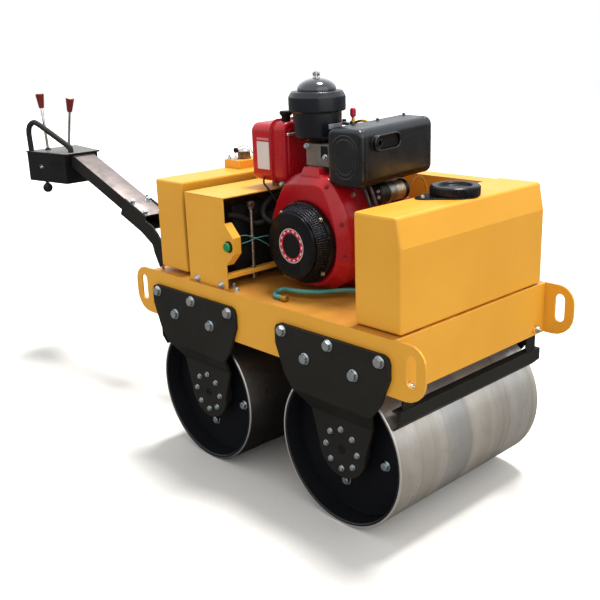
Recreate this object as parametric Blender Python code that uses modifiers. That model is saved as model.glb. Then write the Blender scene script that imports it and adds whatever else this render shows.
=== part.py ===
"""Walk-behind road roller with two vibrating drums and an open diesel engine.

Metres, +X to the front, +Y to the left, +Z up, the ground at Z = 0.  Every size
below is measured from the point on the ground midway between the two drums; the
empty "roller" then carries the whole machine so that its box is centred.
"""
import math

import bmesh
import bpy
from mathutils import Matrix, Vector

# ---------------------------------------------------------------- clearances
FIT = 0.0003            # between fixed pieces that touch
RUN = 0.005             # between a moving piece and its neighbour
PIN_RUN = 0.001         # round a pin or a shaft in its bore
SINK = 0.001            # how far a piece reaches into the one that it is welded to

# --------------------------------------------------------------------- drums
DRUM_RADIUS = 0.2125
DRUM_WIDTH = 0.600
DRUM_WALL = 0.012
WHEELBASE = 0.566
DISC_RECESS = 0.055     # from the drum's edge in to its end disc
DISC_THICKNESS = 0.012
DISC_BOLT_RING = 0.112
DISC_BOLT_RADIUS = 0.012
DISC_BOLT_HEIGHT = 0.008
DISC_BOLT_COUNT = 4
DISC_BOLT_START = math.radians(12)
SHAFT_RADIUS = 0.025
SHAFT_END_GAP = 0.006   # from the shaft's end to the hanger plate
BEARING_RADIUS = 0.065
DRUM_STEPS = 96

# --------------------------------------------------------------------- frame
DRUM_SIDE_GAP = 0.013   # from the drum's edge to the side plate
PLATE = 0.006
FRAME_RISE = 0.2145     # from the axle up to the frame's lower edge
FRAME_DEPTH = 0.143
FLANGE_WIDTH = 0.100
PLATE_REACH = 0.211     # from an axle out to the cross plate's face
LUG_REACH = 0.089       # from the cross plate's face out to the lug's tip
LUG_TOP_RADIUS = 0.048
LUG_FOOT_RADIUS = 0.060
SLOT_SETBACK = 0.042    # from the lug's tip to the slot's middle
SLOT_WIDTH = 0.030
SLOT_HEIGHT = 0.081
SLOT_RISE = 0.0785      # from the side plate's lower edge to the slot's middle
CROSS_FLANGE_WIDTH = 0.066
CROSS_BEAM_WIDTH = 0.080
CROSS_BEAM_DEPTH = 0.100
SPRINKLER_RADIUS = 0.010
SPRINKLER_RISE = 0.080

# ------------------------------------------------------------------- hangers
HANGER_THICKNESS = 0.010
HANGER_INSET = 0.0395   # how far the lower half is set in
HANGER_BEND_TOP = 0.1437
HANGER_BEND_FOOT = 0.0865
HANGER_FOOT_RADIUS = 0.082
# height above the axle, half width
HANGER_OUTLINE = (
    (0.317, 0.179), (0.311, 0.193), (0.2975, 0.199), (0.2577, 0.199),
    (0.1833, 0.169), (HANGER_BEND_TOP, 0.139), (HANGER_BEND_FOOT, 0.108),
)
HANGER_FOOT_STEPS = 8
# along X from the axle, height above the axle
HANGER_BOLTS = (
    (-0.1704, 0.2985), (0.0, 0.2985), (0.1704, 0.2985), (-0.0852, 0.2418), (0.0852, 0.2418),
)
HANGER_BOLT_RADIUS = 0.0139
HANGER_BOLT_HEIGHT = 0.011

# ------------------------------------------------------------------ scrapers
SCRAPER_STEEL = 0.005
SCRAPER_RISE = 0.170    # from the axle up to the bar's top
SCRAPER_FLANGE = 0.027  # width of the bar's top
SCRAPER_LEG = 0.033     # height of the bar's upright face
BLADE_RISE = 0.116      # from the axle up to the blade's edge
BLADE_GAP = 0.0055      # from the blade's edge to the drum
STRAP_WIDTH = 0.042
STRAP_SETBACK = 0.037   # from the drum's edge in to the strap's middle
STRAP_LAP = 0.060       # how far the strap runs up behind the cross plate
STRAP_BOLT_RISE = 0.017
STRAP_BOLT_RADIUS = 0.008
STRAP_BOLT_HEIGHT = 0.006

# ---------------------------------------------------------------- water tank
TANK_LENGTH = 0.1455
TANK_FRONT_GAP = 0.0045     # from the cross plate's face back to the tank's front
TANK_SLANT = 0.015          # how far the top edge leans back
TANK_SLANT_DEPTH = 0.0725
TANK_HEIGHT = 0.2775
TANK_SETBACK = 0.0245       # from the frame's side in to the tank's end
TANK_FOOT_HEIGHT = 0.003
TANK_FOOT_WIDTH = 0.030
TANK_FOOT_Y = 0.180
TANK_EDGE = 0.006
OUTLET_PIPE_LENGTH = 0.020
CAP_RADIUS = 0.062
CAP_HEIGHT = 0.024
CAP_NECK_RADIUS = 0.052
CAP_NECK_HEIGHT = 0.010
CAP_Y = 0.008

# --------------------------------------------- hydraulic tank and pump cover
OIL_LENGTH = 0.1305
OIL_REAR_GAP = 0.023        # from the rear cross plate's face to the tank's back
OIL_HEIGHT = 0.2695
OIL_SETBACK = 0.0245
OIL_EDGE = 0.006
OIL_FOOT_HEIGHT = 0.011
OIL_FOOT_WIDTH = 0.030
OIL_FOOT_Y = 0.200
FILLER_SETBACK = 0.003      # from the tank's back to the filler box
FILLER_LENGTH = 0.078
FILLER_HEIGHT = 0.0255
FILLER_Y = (-0.030, 0.122)
BREATHER_Y = 0.020
BREATHER_RADIUS = 0.0235
BREATHER_HEIGHT = 0.041
BREATHER_NECK_RADIUS = 0.018
BREATHER_NECK_HEIGHT = 0.010
COVER_SHEET = 0.003
COVER_SETBACK = 0.011
COVER_HEIGHT = 0.260
COVER_FRONT = 0.175         # from the crankshaft back to the cover's front edge
COVER_GAP = 0.0335          # from the oil tank to the cover's rear edge
TAB_REACH = 0.036           # of the switch tab ahead of the side sheet
TAB_RISE = 0.070            # from the deck up to the tab
TAB_HEIGHT = 0.119
TAB_SLOPE = 0.037
TAB_FLANGE = 0.027
BAR_SETBACK = 0.0105        # from the cover's front edge back to the tie bar's middle
BAR_DEPTH = 0.020
BAR_RISE = 0.029
BAR_HEIGHT = 0.0135
ROD_RADIUS = 0.005
ROD_SETBACK = 0.1065
ROD_HEIGHT = 0.214
ROD_BELOW = 0.018           # how far the rod reaches below the bar
BATTERY_GAP = 0.0125        # from the tie bar back to the battery
BATTERY_SIZE = (0.130, 0.310, 0.195)
BATTERY_Y = -0.095
BATTERY_RISE = 0.030

# -------------------------------------------- engine, along X from the crank
CRANK_X = 0.0425
CRANK_RISE = 0.137
BASE_X = (-0.152, 0.158)
BASE_HALF_WIDTH = 0.115
BASE_THICKNESS = 0.008
SHROUD_FRONT_Y = -0.164
SHROUD_BACK_Y = -0.085
SHROUD_EDGE = 0.010
SHROUD_FOOT_GAP = 0.005
# along X from the crank, height above the crank, corner radius
SHROUD_OUTLINE = (
    (0.110, -0.103, 0.020), (0.150, -0.067, 0.020), (0.149, -0.008, 0.020), (0.135, 0.044, 0.020),
    (0.114, 0.090, 0.020), (0.080, 0.146, 0.010), (0.058, 0.163, 0.005), (-0.040, 0.158, 0.005),
    (-0.085, 0.134, 0.010), (-0.128, 0.072, 0.020), (-0.142, 0.002, 0.020), (-0.128, -0.068, 0.020),
)
# along X from the crank, height above the shroud's foot, corner radius
SHROUD_FOOT = ((-0.045, 0.014, 0.020), (0.045, 0.004, 0.020))
DUCT_HALF_WIDTH = 0.038
DUCT_SETBACK = 0.016        # from the shroud's front to the duct's
DUCT_Z = (-0.048, -0.004)   # from the top of the cylinder
CASE_HALF_LENGTH = 0.1125
CASE_BACK_Y = 0.150
CASE_HEIGHT = 0.220
COWL_BACK_Y = 0.030
# along X from the crank, height above the crankcase
COWL_OUTLINE = ((0.058, -0.018), (0.111, -0.018), (0.1225, 0.004), (0.1075, 0.064), (0.058, 0.064))
BARREL_HALF_WIDTH = 0.046
BARREL_FRONT_Y = -0.080
BARREL_BACK_Y = 0.060
BARREL_HEIGHT = 0.109
HEAD_FRONT_Y = -0.110
HEAD_HEIGHT = 0.059
ROCKER_X = (-0.027, 0.058)
ROCKER_Y = (0.010, 0.075)
ROCKER_HEIGHT = 0.031
ROCKER_EDGE = 0.005
FIN_THICKNESS = 0.004
FIN_REACH = 0.010
FIN_COUNT = 5
# radius, depth of each tier of the recoil starter, from the shroud outwards
RECOIL_TIERS = ((0.112, 0.018), (0.103, 0.024), (0.093, 0.016))
FUEL_X = (-0.251, -0.1155)
FUEL_Y = (-0.130, 0.110)
FUEL_Z = (-0.1122, 0.0535)  # from the top of the head
FUEL_EDGE = 0.015
FUEL_SEAM_X = -0.1645
FUEL_SEAM_REACH = 0.006
FUEL_SEAM_THICKNESS = 0.004
FUEL_CAP_RADIUS = 0.018
FUEL_CAP_HEIGHT = 0.028
FUEL_CAP_X = -0.1395
FUEL_CAP_Y = -0.095
FILTER_X = -0.040
FILTER_Y = -0.070
FILTER_GAP = 0.0037         # from the top of the head to the air cleaner's foot
# radius, height above the air cleaner's foot, down its outside from the wing nut
FILTER_PROFILE = (
    (0.0, 0.184), (0.006, 0.184), (0.006, 0.169), (0.026, 0.163), (0.043, 0.150),
    (0.052, 0.134), (0.069, 0.133), (0.078, 0.118), (0.078, 0.082), (0.065, 0.079),
    (0.065, 0.030), (0.045, 0.010), (0.045, 0.0), (0.0, 0.0),
)
MUFFLER_X = (0.072, 0.190)
MUFFLER_Y = (-0.142, 0.138)
MUFFLER_Z = (-0.0950, 0.0560)    # from the top of the head
MUFFLER_EDGE = 0.018
OUTLET_Y = -0.053
OUTLET_Z = 0.0160
OUTLET_HALF_LENGTH = 0.050
OUTLET_HALF_HEIGHT = 0.020
OUTLET_DEPTH = 0.012
STARTER_X = 0.1525
STARTER_RISE = 0.131        # above the crank
STARTER_RADIUS = 0.030
STARTER_Y = (-0.085, 0.060)
STARTER_LUG_LAP = 0.010     # of the mounting lug over the crankcase
STARTER_LUG_Y = (0.040, 0.052)
STARTER_LUG_HALF_HEIGHT = 0.020
SHAFT_OUT_RADIUS = 0.0125
KNOB_X = 0.008
KNOB_Y = 0.020
KNOB_RADIUS = 0.012
KNOB_NECK_RADIUS = 0.006
KNOB_NECK = 0.012
KNOB_HEIGHT = 0.043
GUARD_REAR_GAP = 0.043      # from the tie bar to the belt guard
GUARD_FRONT_GAP = 0.009     # from the belt guard to the water tank
GUARD_SETBACK = 0.021
GUARD_WIDTH = 0.058
GUARD_HEIGHT = 0.275

# --------------------------------------------------------------- water hose
HOSE_RADIUS = 0.006
HOSE_START_X = 0.040
# share of the way to the tank, Y, lift off the deck
HOSE_ROUTE = (
    (0.070, -0.277, 0.002), (0.035, -0.277, 0.002), (-0.035, -0.274, 0.001), (-0.099, -0.259, 0.0),
    (-0.120, -0.243, 0.002), (-0.092, -0.232, 0.006), (-0.035, -0.230, 0.009),
    (0.053, -0.2325, 0.011), (0.176, -0.220, 0.0115), (0.275, -0.203, 0.0115),
    (0.345, -0.178, 0.0115), (0.408, -0.152, 0.0115), (0.486, -0.130, 0.0115),
    (0.641, -0.115, 0.0115), (0.782, -0.108, 0.0187), (0.915, -0.106, 0.0257),
    (1.0, -0.106, 0.0257),
)
FITTING_RADIUS = 0.008
FITTING_LENGTH = 0.020

# -------------------------------------------------------------------- handle
PIVOT_REACH = 0.272     # from the rear cross plate's face to the pin
PIVOT_RISE = 0.0265     # from the frame's lower edge up to the pin
PIN_RADIUS = 0.010
PIN_HEAD_RADIUS = 0.016
PIN_HEAD_LENGTH = 0.008
EAR_THICKNESS = 0.010
EAR_Y = 0.025           # inner face of each ear
EAR_RADIUS = 0.030
EAR_ARC = (80, 270)     # degrees of the ear's round end
EAR_STEPS = 8
BRACKET_HALF_WIDTH = 0.065
BRACKET_BASE = 0.010
BRACKET_RISE = 0.004
BRACKET_HEIGHT = 0.125
ARM_HALF_WIDTH = 0.045
ARM_DEPTH = 0.048
ARM_WALL = 0.005
ARM_TILT = math.radians(20.8)
ARM_FOOT = (-0.1685, 0.1815)    # lower end of the top plate, from the pin, x and z
FORK_THICKNESS = 0.006
FORK_EYE_RADIUS = 0.033
FORK_EYE_ARC = (45, -135)
FORK_EYE_STEPS = 9
FORK_DEPTH = 0.064
FORK_LAP = 0.140                # how far the fork runs along the arm
FORK_LAP_TOP = 0.130
FORK_RISE = 0.006               # of its sides above the arm's top
# the horns' upper and lower edges, from the pin, x and z
HORN_UPPER = ((-0.1617, 0.1660), (-0.1187, 0.1520), (-0.0910, 0.1300), (-0.0660, 0.0990),
              (-0.0400, 0.0650))
HORN_LOWER = ((-0.0620, -0.0210), (-0.0930, 0.0125), (-0.1155, 0.0540), (-0.1250, 0.0840))
CONSOLE_REACH = 0.4955          # from the arm's foot back to the console's front
CONSOLE_DROP = 0.003            # from the arm's top there down to the console's
CONSOLE_LENGTH = 0.237
CONSOLE_FRONT_HALF = 0.074
CONSOLE_REAR_HALF = 0.112
CONSOLE_HEIGHT = 0.1135
CONSOLE_LID = 0.005
LID_OVERHANG = 0.003
LID_FRONT_OVERHANG = 0.015
LOOP_RADIUS = 0.011
# ahead of the console's rear face, Y, height above the lid
LOOP_ROUTE = (
    (0.018, -0.101, 0.0006), (0.018, -0.101, 0.021), (0.015, -0.101, 0.052), (0.016, -0.101, 0.081),
    (0.025, -0.098, 0.103), (0.044, -0.092, 0.115), (0.067, -0.085, 0.111),
    (0.127, -0.066, 0.077), (0.182, -0.048, 0.044), (0.214, -0.036, 0.024),
    (0.220, -0.034, 0.012), (0.220, -0.034, 0.0006),
)
# foot ahead of the console's rear face, Y, how far the top leans along X, its height
LEVERS = (
    ("travel_lever", 0.053, -0.045, -0.013, 0.164),
    ("throttle_lever", 0.083, 0.033, 0.040, 0.1465),
)
LEVER_RADIUS = 0.005
BOOT_RADIUS = 0.012
BOOT_HEIGHT = 0.010
GRIP_LENGTH = 0.058
GRIP_TOP_RADIUS = 0.017
GRIP_FOOT_RADIUS = 0.010
HAND_KNOB_AHEAD = 0.101         # of the console's rear face
HAND_KNOB_Y = -0.090
HAND_KNOB_DROP = 0.024
HAND_KNOB_RADIUS = 0.019
HAND_KNOB_STEM = 0.006

# ------------------------------------------------------------ worked out once
AXLE_X = WHEELBASE / 2
FRAME_HALF_WIDTH = DRUM_WIDTH / 2 + DRUM_SIDE_GAP + PLATE
FRAME_BOTTOM = DRUM_RADIUS + FRAME_RISE
DECK = FRAME_BOTTOM + FRAME_DEPTH
CROSS_PLATE_X = AXLE_X + PLATE_REACH
LUG_X = CROSS_PLATE_X + LUG_REACH
DISC_OUTER_Y = DRUM_WIDTH / 2 - DISC_RECESS
HANGER_INNER_Y = FRAME_HALF_WIDTH - HANGER_INSET
TANK_FRONT_X = CROSS_PLATE_X - TANK_FRONT_GAP
TANK_REAR_X = TANK_FRONT_X - TANK_LENGTH
OIL_REAR_X = OIL_REAR_GAP - CROSS_PLATE_X
OIL_FRONT_X = OIL_REAR_X + OIL_LENGTH
OIL_TOP = DECK + OIL_FOOT_HEIGHT + OIL_HEIGHT
COVER_FRONT_X = CRANK_X - COVER_FRONT
COVER_HALF_WIDTH = FRAME_HALF_WIDTH - COVER_SETBACK
BAR_X = COVER_FRONT_X - BAR_SETBACK
CRANK_Z = DECK + CRANK_RISE
CASE_TOP = DECK + BASE_THICKNESS + CASE_HEIGHT
BARREL_TOP = CASE_TOP + BARREL_HEIGHT
HEAD_TOP = BARREL_TOP + HEAD_HEIGHT
GUARD_BACK_Y = FRAME_HALF_WIDTH - GUARD_SETBACK
PIVOT_X = -CROSS_PLATE_X - PIVOT_REACH
PIVOT_Z = FRAME_BOTTOM + PIVOT_RISE
ARM_X = PIVOT_X + ARM_FOOT[0]
ARM_Z = PIVOT_Z + ARM_FOOT[1]
CONSOLE_FRONT_X = ARM_X - CONSOLE_REACH
CONSOLE_REAR_X = CONSOLE_FRONT_X - CONSOLE_LENGTH
CONSOLE_TOP = ARM_Z + CONSOLE_REACH * math.tan(ARM_TILT) - CONSOLE_DROP
CONSOLE_BOTTOM = CONSOLE_TOP - CONSOLE_HEIGHT
LID_TOP = CONSOLE_TOP + CONSOLE_LID
CENTRE_SHIFT = (LID_OVERHANG - CONSOLE_REAR_X - LUG_X) / 2

COLORS = {
    "yellow_paint": ((0.83, 0.42, 0.05), 0.35, 0.0),
    "black_paint": ((0.02, 0.02, 0.02), 0.45, 0.0),
    "red_paint": ((0.45, 0.01, 0.02), 0.3, 0.0),
    "drum_steel": ((0.42, 0.40, 0.38), 0.35, 1.0),
    "machined_steel": ((0.5, 0.5, 0.5), 0.35, 1.0),
    "cast_aluminium": ((0.55, 0.55, 0.56), 0.45, 1.0),
    "black_plastic": ((0.015, 0.015, 0.015), 0.4, 0.0),
    "chrome": ((0.75, 0.75, 0.75), 0.1, 1.0),
    "red_grip": ((0.2, 0.03, 0.03), 0.3, 0.0),
    "teal_hose": ((0.02, 0.3, 0.28), 0.4, 0.0),
    "brass": ((0.7, 0.5, 0.2), 0.3, 1.0),
}


# ------------------------------------------------------------------ tools
def clear_scene():
    for obj in list(bpy.data.objects):
        bpy.data.objects.remove(obj, do_unlink=True)


def material(name):
    """One Principled material for each finish, made the first time it is asked for."""
    if name in bpy.data.materials:
        return bpy.data.materials[name]
    color, roughness, metallic = COLORS[name]
    made = bpy.data.materials.new(name)
    made.use_nodes = True
    shader = made.node_tree.nodes["Principled BSDF"]
    shader.inputs["Base Color"].default_value = (*color, 1.0)
    shader.inputs["Roughness"].default_value = roughness
    shader.inputs["Metallic"].default_value = metallic
    return made


def finish(obj, name, color):
    obj.name = name
    obj.data.name = name
    obj.data.materials.clear()
    obj.data.materials.append(material(color))
    return obj


def apply_modifiers(obj):
    bpy.context.view_layer.objects.active = obj
    for modifier in list(obj.modifiers):
        bpy.ops.object.modifier_apply(modifier=modifier.name)
    return obj


def combine(obj, others, operation="UNION"):
    """Join or cut obj with each of the others, which are then removed."""
    for other in others:
        step = obj.modifiers.new(operation, "BOOLEAN")
        step.operation = operation
        step.solver = "EXACT"
        step.object = other
        apply_modifiers(obj)
        bpy.data.objects.remove(other, do_unlink=True)
    return obj


def cut(obj, cutters):
    return combine(obj, cutters, "DIFFERENCE")


def bevel(obj, width, segments=2):
    step = obj.modifiers.new("edges", "BEVEL")
    step.width = width
    step.segments = segments
    step.limit_method = "ANGLE"
    return apply_modifiers(obj)


def box(x, y, z):
    """A block between two values on each axis."""
    low, high = Vector((x[0], y[0], z[0])), Vector((x[1], y[1], z[1]))
    bpy.ops.mesh.primitive_cube_add(size=1, location=(low + high) / 2)
    obj = bpy.context.object
    obj.scale = high - low
    bpy.ops.object.transform_apply(location=False, rotation=False, scale=True)
    return obj


def turn_to(obj, axis):
    """Turn a piece made along +Z so that it points along the given axis."""
    obj.rotation_mode = "QUATERNION"
    obj.rotation_quaternion = Vector((0, 0, 1)).rotation_difference(Vector(axis))
    return obj


def rod(start, end, radius, steps=24):
    """A cylinder between two points."""
    start, end = Vector(start), Vector(end)
    bpy.ops.mesh.primitive_cylinder_add(
        vertices=steps, radius=radius, depth=(end - start).length, location=(start + end) / 2)
    return turn_to(bpy.context.object, end - start)


def turned(profile, foot, axis=(0, 0, 1), steps=32, closed=False):
    """Spin a profile of (radius, height), listed down its outer side, about an axis."""
    mesh = bpy.data.meshes.new("profile")
    points = [(radius, 0.0, height) for radius, height in profile]
    edges = [(i, i + 1) for i in range(len(points) - 1)]
    if closed:
        edges.append((len(points) - 1, 0))
    mesh.from_pydata(points, edges, [])
    obj = bpy.data.objects.new("profile", mesh)
    bpy.context.scene.collection.objects.link(obj)
    screw = obj.modifiers.new("turn", "SCREW")
    screw.steps = screw.render_steps = steps
    screw.use_merge_vertices = True
    screw.merge_threshold = 0.00001
    apply_modifiers(obj)
    obj.location = foot
    return turn_to(obj, axis)


def as_mesh(curve_object):
    """Replace a curve object by its closed mesh."""
    graph = bpy.context.evaluated_depsgraph_get()
    mesh = bpy.data.meshes.new_from_object(curve_object.evaluated_get(graph))
    shape = bmesh.new()
    shape.from_mesh(mesh)
    bmesh.ops.remove_doubles(shape, verts=shape.verts, dist=0.00001)
    bmesh.ops.recalc_face_normals(shape, faces=shape.faces)
    shape.to_mesh(mesh)
    shape.free()
    obj = bpy.data.objects.new("mesh", mesh)
    obj.matrix_world = curve_object.matrix_world.copy()
    bpy.context.scene.collection.objects.link(obj)
    bpy.data.objects.remove(curve_object, do_unlink=True)
    return obj


def side_plate(outlines, inner_y, outer_y):
    """A plate cut to outlines in X and Z (the first is its edge, the rest are holes)."""
    curve = bpy.data.curves.new("outline", "CURVE")
    curve.dimensions = "2D"
    curve.fill_mode = "BOTH"
    curve.extrude = abs(outer_y - inner_y) / 2
    for outline in outlines:
        spline = curve.splines.new("POLY")
        spline.points.add(len(outline) - 1)
        for point, (x, z) in zip(spline.points, outline):
            point.co = (x, z, 0.0, 1.0)
        spline.use_cyclic_u = True
    obj = bpy.data.objects.new("outline", curve)
    obj.matrix_world = (Matrix.Translation((0, (inner_y + outer_y) / 2, 0))
                        @ Matrix.Rotation(math.radians(90), 4, "X"))
    bpy.context.scene.collection.objects.link(obj)
    bpy.context.view_layer.update()
    return as_mesh(obj)


def tube(points, radius, resolution=2):
    """A round tube or wire along a list of points."""
    curve = bpy.data.curves.new("route", "CURVE")
    curve.dimensions = "3D"
    curve.bevel_depth = radius
    curve.bevel_resolution = resolution
    curve.use_fill_caps = True
    spline = curve.splines.new("POLY")
    spline.points.add(len(points) - 1)
    for point, place in zip(spline.points, points):
        point.co = (*place, 1.0)
    obj = bpy.data.objects.new("route", curve)
    bpy.context.scene.collection.objects.link(obj)
    bpy.context.view_layer.update()
    return as_mesh(obj)


def rounded(corners, steps=5):
    """An outline of (x, z, radius) corners, each rounded by an arc."""
    outline = []
    count = len(corners)
    for i, (x, z, radius) in enumerate(corners):
        here = Vector((x, z))
        back = (Vector(corners[i - 1][:2]) - here).normalized()
        ahead = (Vector(corners[(i + 1) % count][:2]) - here).normalized()
        if radius <= 0:
            outline.append((x, z))
            continue
        half = back.angle(ahead) / 2
        centre = here + (back + ahead).normalized() * (radius / math.sin(half))
        first = here + back * (radius / math.tan(half)) - centre
        last = here + ahead * (radius / math.tan(half)) - centre
        turn = first.angle_signed(last)
        for k in range(steps + 1):
            arm = Matrix.Rotation(-turn * k / steps, 2) @ first
            outline.append(tuple(centre + arm))
    return outline


def slot_outline(x, z, width, height, steps=6):
    """An upright slot with round ends."""
    radius, reach = width / 2, (height - width) / 2
    top = [(x + radius * math.cos(a), z + reach + radius * math.sin(a))
           for a in (math.pi * k / steps for k in range(steps + 1))]
    foot = [(2 * x - px, 2 * z - pz) for px, pz in top]
    return top + foot


def hex_head(place, axis, radius, height):
    """A bolt head that stands on a face and reaches a little into it."""
    place, axis = Vector(place), Vector(axis)
    return rod(place - axis * PIN_RUN, place + axis * height, radius, steps=6)


# ------------------------------------------------------------------ frame
def side_members(side, name):
    """Side plate with a lifting slot in each lug and its top folded inwards."""
    outer, inner = side * FRAME_HALF_WIDTH, side * (FRAME_HALF_WIDTH - PLATE)
    edge = rounded((
        (-LUG_X, FRAME_BOTTOM, LUG_FOOT_RADIUS), (LUG_X, FRAME_BOTTOM, LUG_FOOT_RADIUS),
        (LUG_X, DECK, LUG_TOP_RADIUS), (-LUG_X, DECK, LUG_TOP_RADIUS)))
    slots = [slot_outline(x, FRAME_BOTTOM + SLOT_RISE, SLOT_WIDTH, SLOT_HEIGHT)
             for x in (LUG_X - SLOT_SETBACK, SLOT_SETBACK - LUG_X)]
    plate = side_plate([edge] + slots, inner, outer)
    reach = CROSS_PLATE_X - PLATE - FIT
    fold = sorted((outer - side * PLATE / 2, outer - side * FLANGE_WIDTH))
    flange = box((-reach, reach), fold, (DECK - PLATE, DECK))
    return finish(combine(plate, [flange]), name, "yellow_paint")


def cross_plate(end, name):
    """End plate of the frame, folded over at the top, with the bolts of the scraper's straps."""
    face = sorted((end * CROSS_PLATE_X, end * (CROSS_PLATE_X - PLATE)))
    half = FRAME_HALF_WIDTH - PLATE - FIT
    plate = box(face, (-half, half), (FRAME_BOTTOM, DECK))
    fold_half = FRAME_HALF_WIDTH - FLANGE_WIDTH - FIT
    fold = sorted((end * (CROSS_PLATE_X - PLATE / 2), end * (CROSS_PLATE_X - CROSS_FLANGE_WIDTH)))
    flange = box(fold, (-fold_half, fold_half), (DECK - PLATE, DECK))
    heads = [hex_head((end * CROSS_PLATE_X, side * strap_y(), FRAME_BOTTOM + STRAP_BOLT_RISE),
                      (end, 0, 0), STRAP_BOLT_RADIUS, STRAP_BOLT_HEIGHT) for side in (-1, 1)]
    return finish(combine(plate, [flange] + heads), name, "yellow_paint")


def deck():
    """Engine deck between the folded flanges, and the beam below its middle."""
    half = FRAME_HALF_WIDTH - FLANGE_WIDTH - FIT
    reach = CROSS_PLATE_X - CROSS_FLANGE_WIDTH - FIT
    finish(box((-reach, reach), (-half, half), (DECK - PLATE, DECK)), "deck_plate", "yellow_paint")
    top = DECK - PLATE - FIT
    beam_half = FRAME_HALF_WIDTH - PLATE - FIT
    beam_x = CROSS_BEAM_WIDTH / 2
    finish(box((-beam_x, beam_x), (-beam_half, beam_half), (top - CROSS_BEAM_DEPTH, top)),
           "cross_beam", "yellow_paint")
    for end, name in ((1, "sprinkler_pipe_front"), (-1, "sprinkler_pipe_rear")):
        x = end * (beam_x + SPRINKLER_RADIUS + FIT)
        z = FRAME_BOTTOM + SPRINKLER_RISE
        pipe = rod((x, -beam_half, z), (x, beam_half, z), SPRINKLER_RADIUS, steps=16)
        finish(pipe, name, "black_plastic")


def hanger_rows():
    """Rows of (height above the axle, half width, inset) from the top to the round foot."""
    bend = HANGER_BEND_TOP - HANGER_BEND_FOOT
    rows = []
    for height, half in HANGER_OUTLINE:
        inset = HANGER_INSET * min(1.0, max(0.0, (HANGER_BEND_TOP - height) / bend))
        rows.append((height, half, inset))
    for k in range(HANGER_FOOT_STEPS + 1):
        angle = math.radians(90 * k / HANGER_FOOT_STEPS)
        rows.append((-HANGER_FOOT_RADIUS * math.sin(angle),
                     max(HANGER_FOOT_RADIUS * math.cos(angle), SINK), HANGER_INSET))
    return rows


def hanger(axle_x, side, name):
    """Bolted plate that carries one end of a drum, its lower half set in past the drum's edge."""
    shape = bmesh.new()
    outer_y = FRAME_HALF_WIDTH + HANGER_THICKNESS
    rings = []
    for height, half, inset in hanger_rows():
        corners = ((-half, outer_y), (half, outer_y),
                   (half, outer_y - HANGER_THICKNESS + FIT), (-half, outer_y - HANGER_THICKNESS + FIT))
        rings.append([shape.verts.new((axle_x + x, side * (y - inset), DRUM_RADIUS + height))
                      for x, y in corners])
    for upper, lower in zip(rings, rings[1:]):
        for k in range(4):
            shape.faces.new((upper[k], upper[(k + 1) % 4], lower[(k + 1) % 4], lower[k]))
    shape.faces.new(rings[0])
    shape.faces.new(rings[-1])
    bmesh.ops.recalc_face_normals(shape, faces=shape.faces)
    mesh = bpy.data.meshes.new(name)
    shape.to_mesh(mesh)
    shape.free()
    plate = bpy.data.objects.new(name, mesh)
    bpy.context.scene.collection.objects.link(plate)
    heads = [hex_head((axle_x + x, side * outer_y, DRUM_RADIUS + z), (0, side, 0),
                      HANGER_BOLT_RADIUS, HANGER_BOLT_HEIGHT) for x, z in HANGER_BOLTS]
    return finish(combine(plate, heads + [bearing(axle_x, side)]), name, "black_paint")


def bearing(axle_x, side):
    """Bearing housing on the hanger's inner face, bored for the end of the drum's shaft."""
    near = side * (DISC_OUTER_Y + RUN)
    far = side * (HANGER_INNER_Y + SINK)
    housing = rod((axle_x, near, DRUM_RADIUS), (axle_x, far, DRUM_RADIUS), BEARING_RADIUS, steps=32)
    shaft_end = side * (HANGER_INNER_Y - SHAFT_END_GAP + PIN_RUN)
    bore = rod((axle_x, near - side * RUN, DRUM_RADIUS), (axle_x, shaft_end, DRUM_RADIUS),
               SHAFT_RADIUS + PIN_RUN, steps=24)
    return cut(housing, [bore])


# ------------------------------------------------------------------ drums
def drum(axle_x, name):
    """Rolled shell, and the shaft with the two recessed end discs welded to it."""
    centre = Vector((axle_x, 0, DRUM_RADIUS))
    half, inner = DRUM_WIDTH / 2, DRUM_RADIUS - DRUM_WALL
    shell = turned(((DRUM_RADIUS, half), (DRUM_RADIUS, -half), (inner, -half), (inner, half)),
                   centre, (0, 1, 0), steps=DRUM_STEPS, closed=True)
    finish(shell, name + "_shell", "drum_steel")
    reach = Vector((0, HANGER_INNER_Y - SHAFT_END_GAP, 0))
    shaft = rod(centre - reach, centre + reach, SHAFT_RADIUS, steps=24)
    parts = []
    for side in (-1, 1):
        face = Vector((0, side * DISC_OUTER_Y, 0))
        back = Vector((0, side * (DISC_OUTER_Y - DISC_THICKNESS), 0))
        parts.append(rod(centre + back, centre + face, inner - FIT, steps=48))
        for k in range(DISC_BOLT_COUNT):
            angle = 2 * math.pi * k / DISC_BOLT_COUNT - DISC_BOLT_START
            spoke = Vector((math.cos(angle), 0, math.sin(angle))) * DISC_BOLT_RING
            parts.append(hex_head(centre + face + spoke, (0, side, 0),
                                  DISC_BOLT_RADIUS, DISC_BOLT_HEIGHT))
    finish(combine(shaft, parts), name + "_axle", "black_paint")


def strap_y():
    return DRUM_WIDTH / 2 - STRAP_SETBACK


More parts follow.
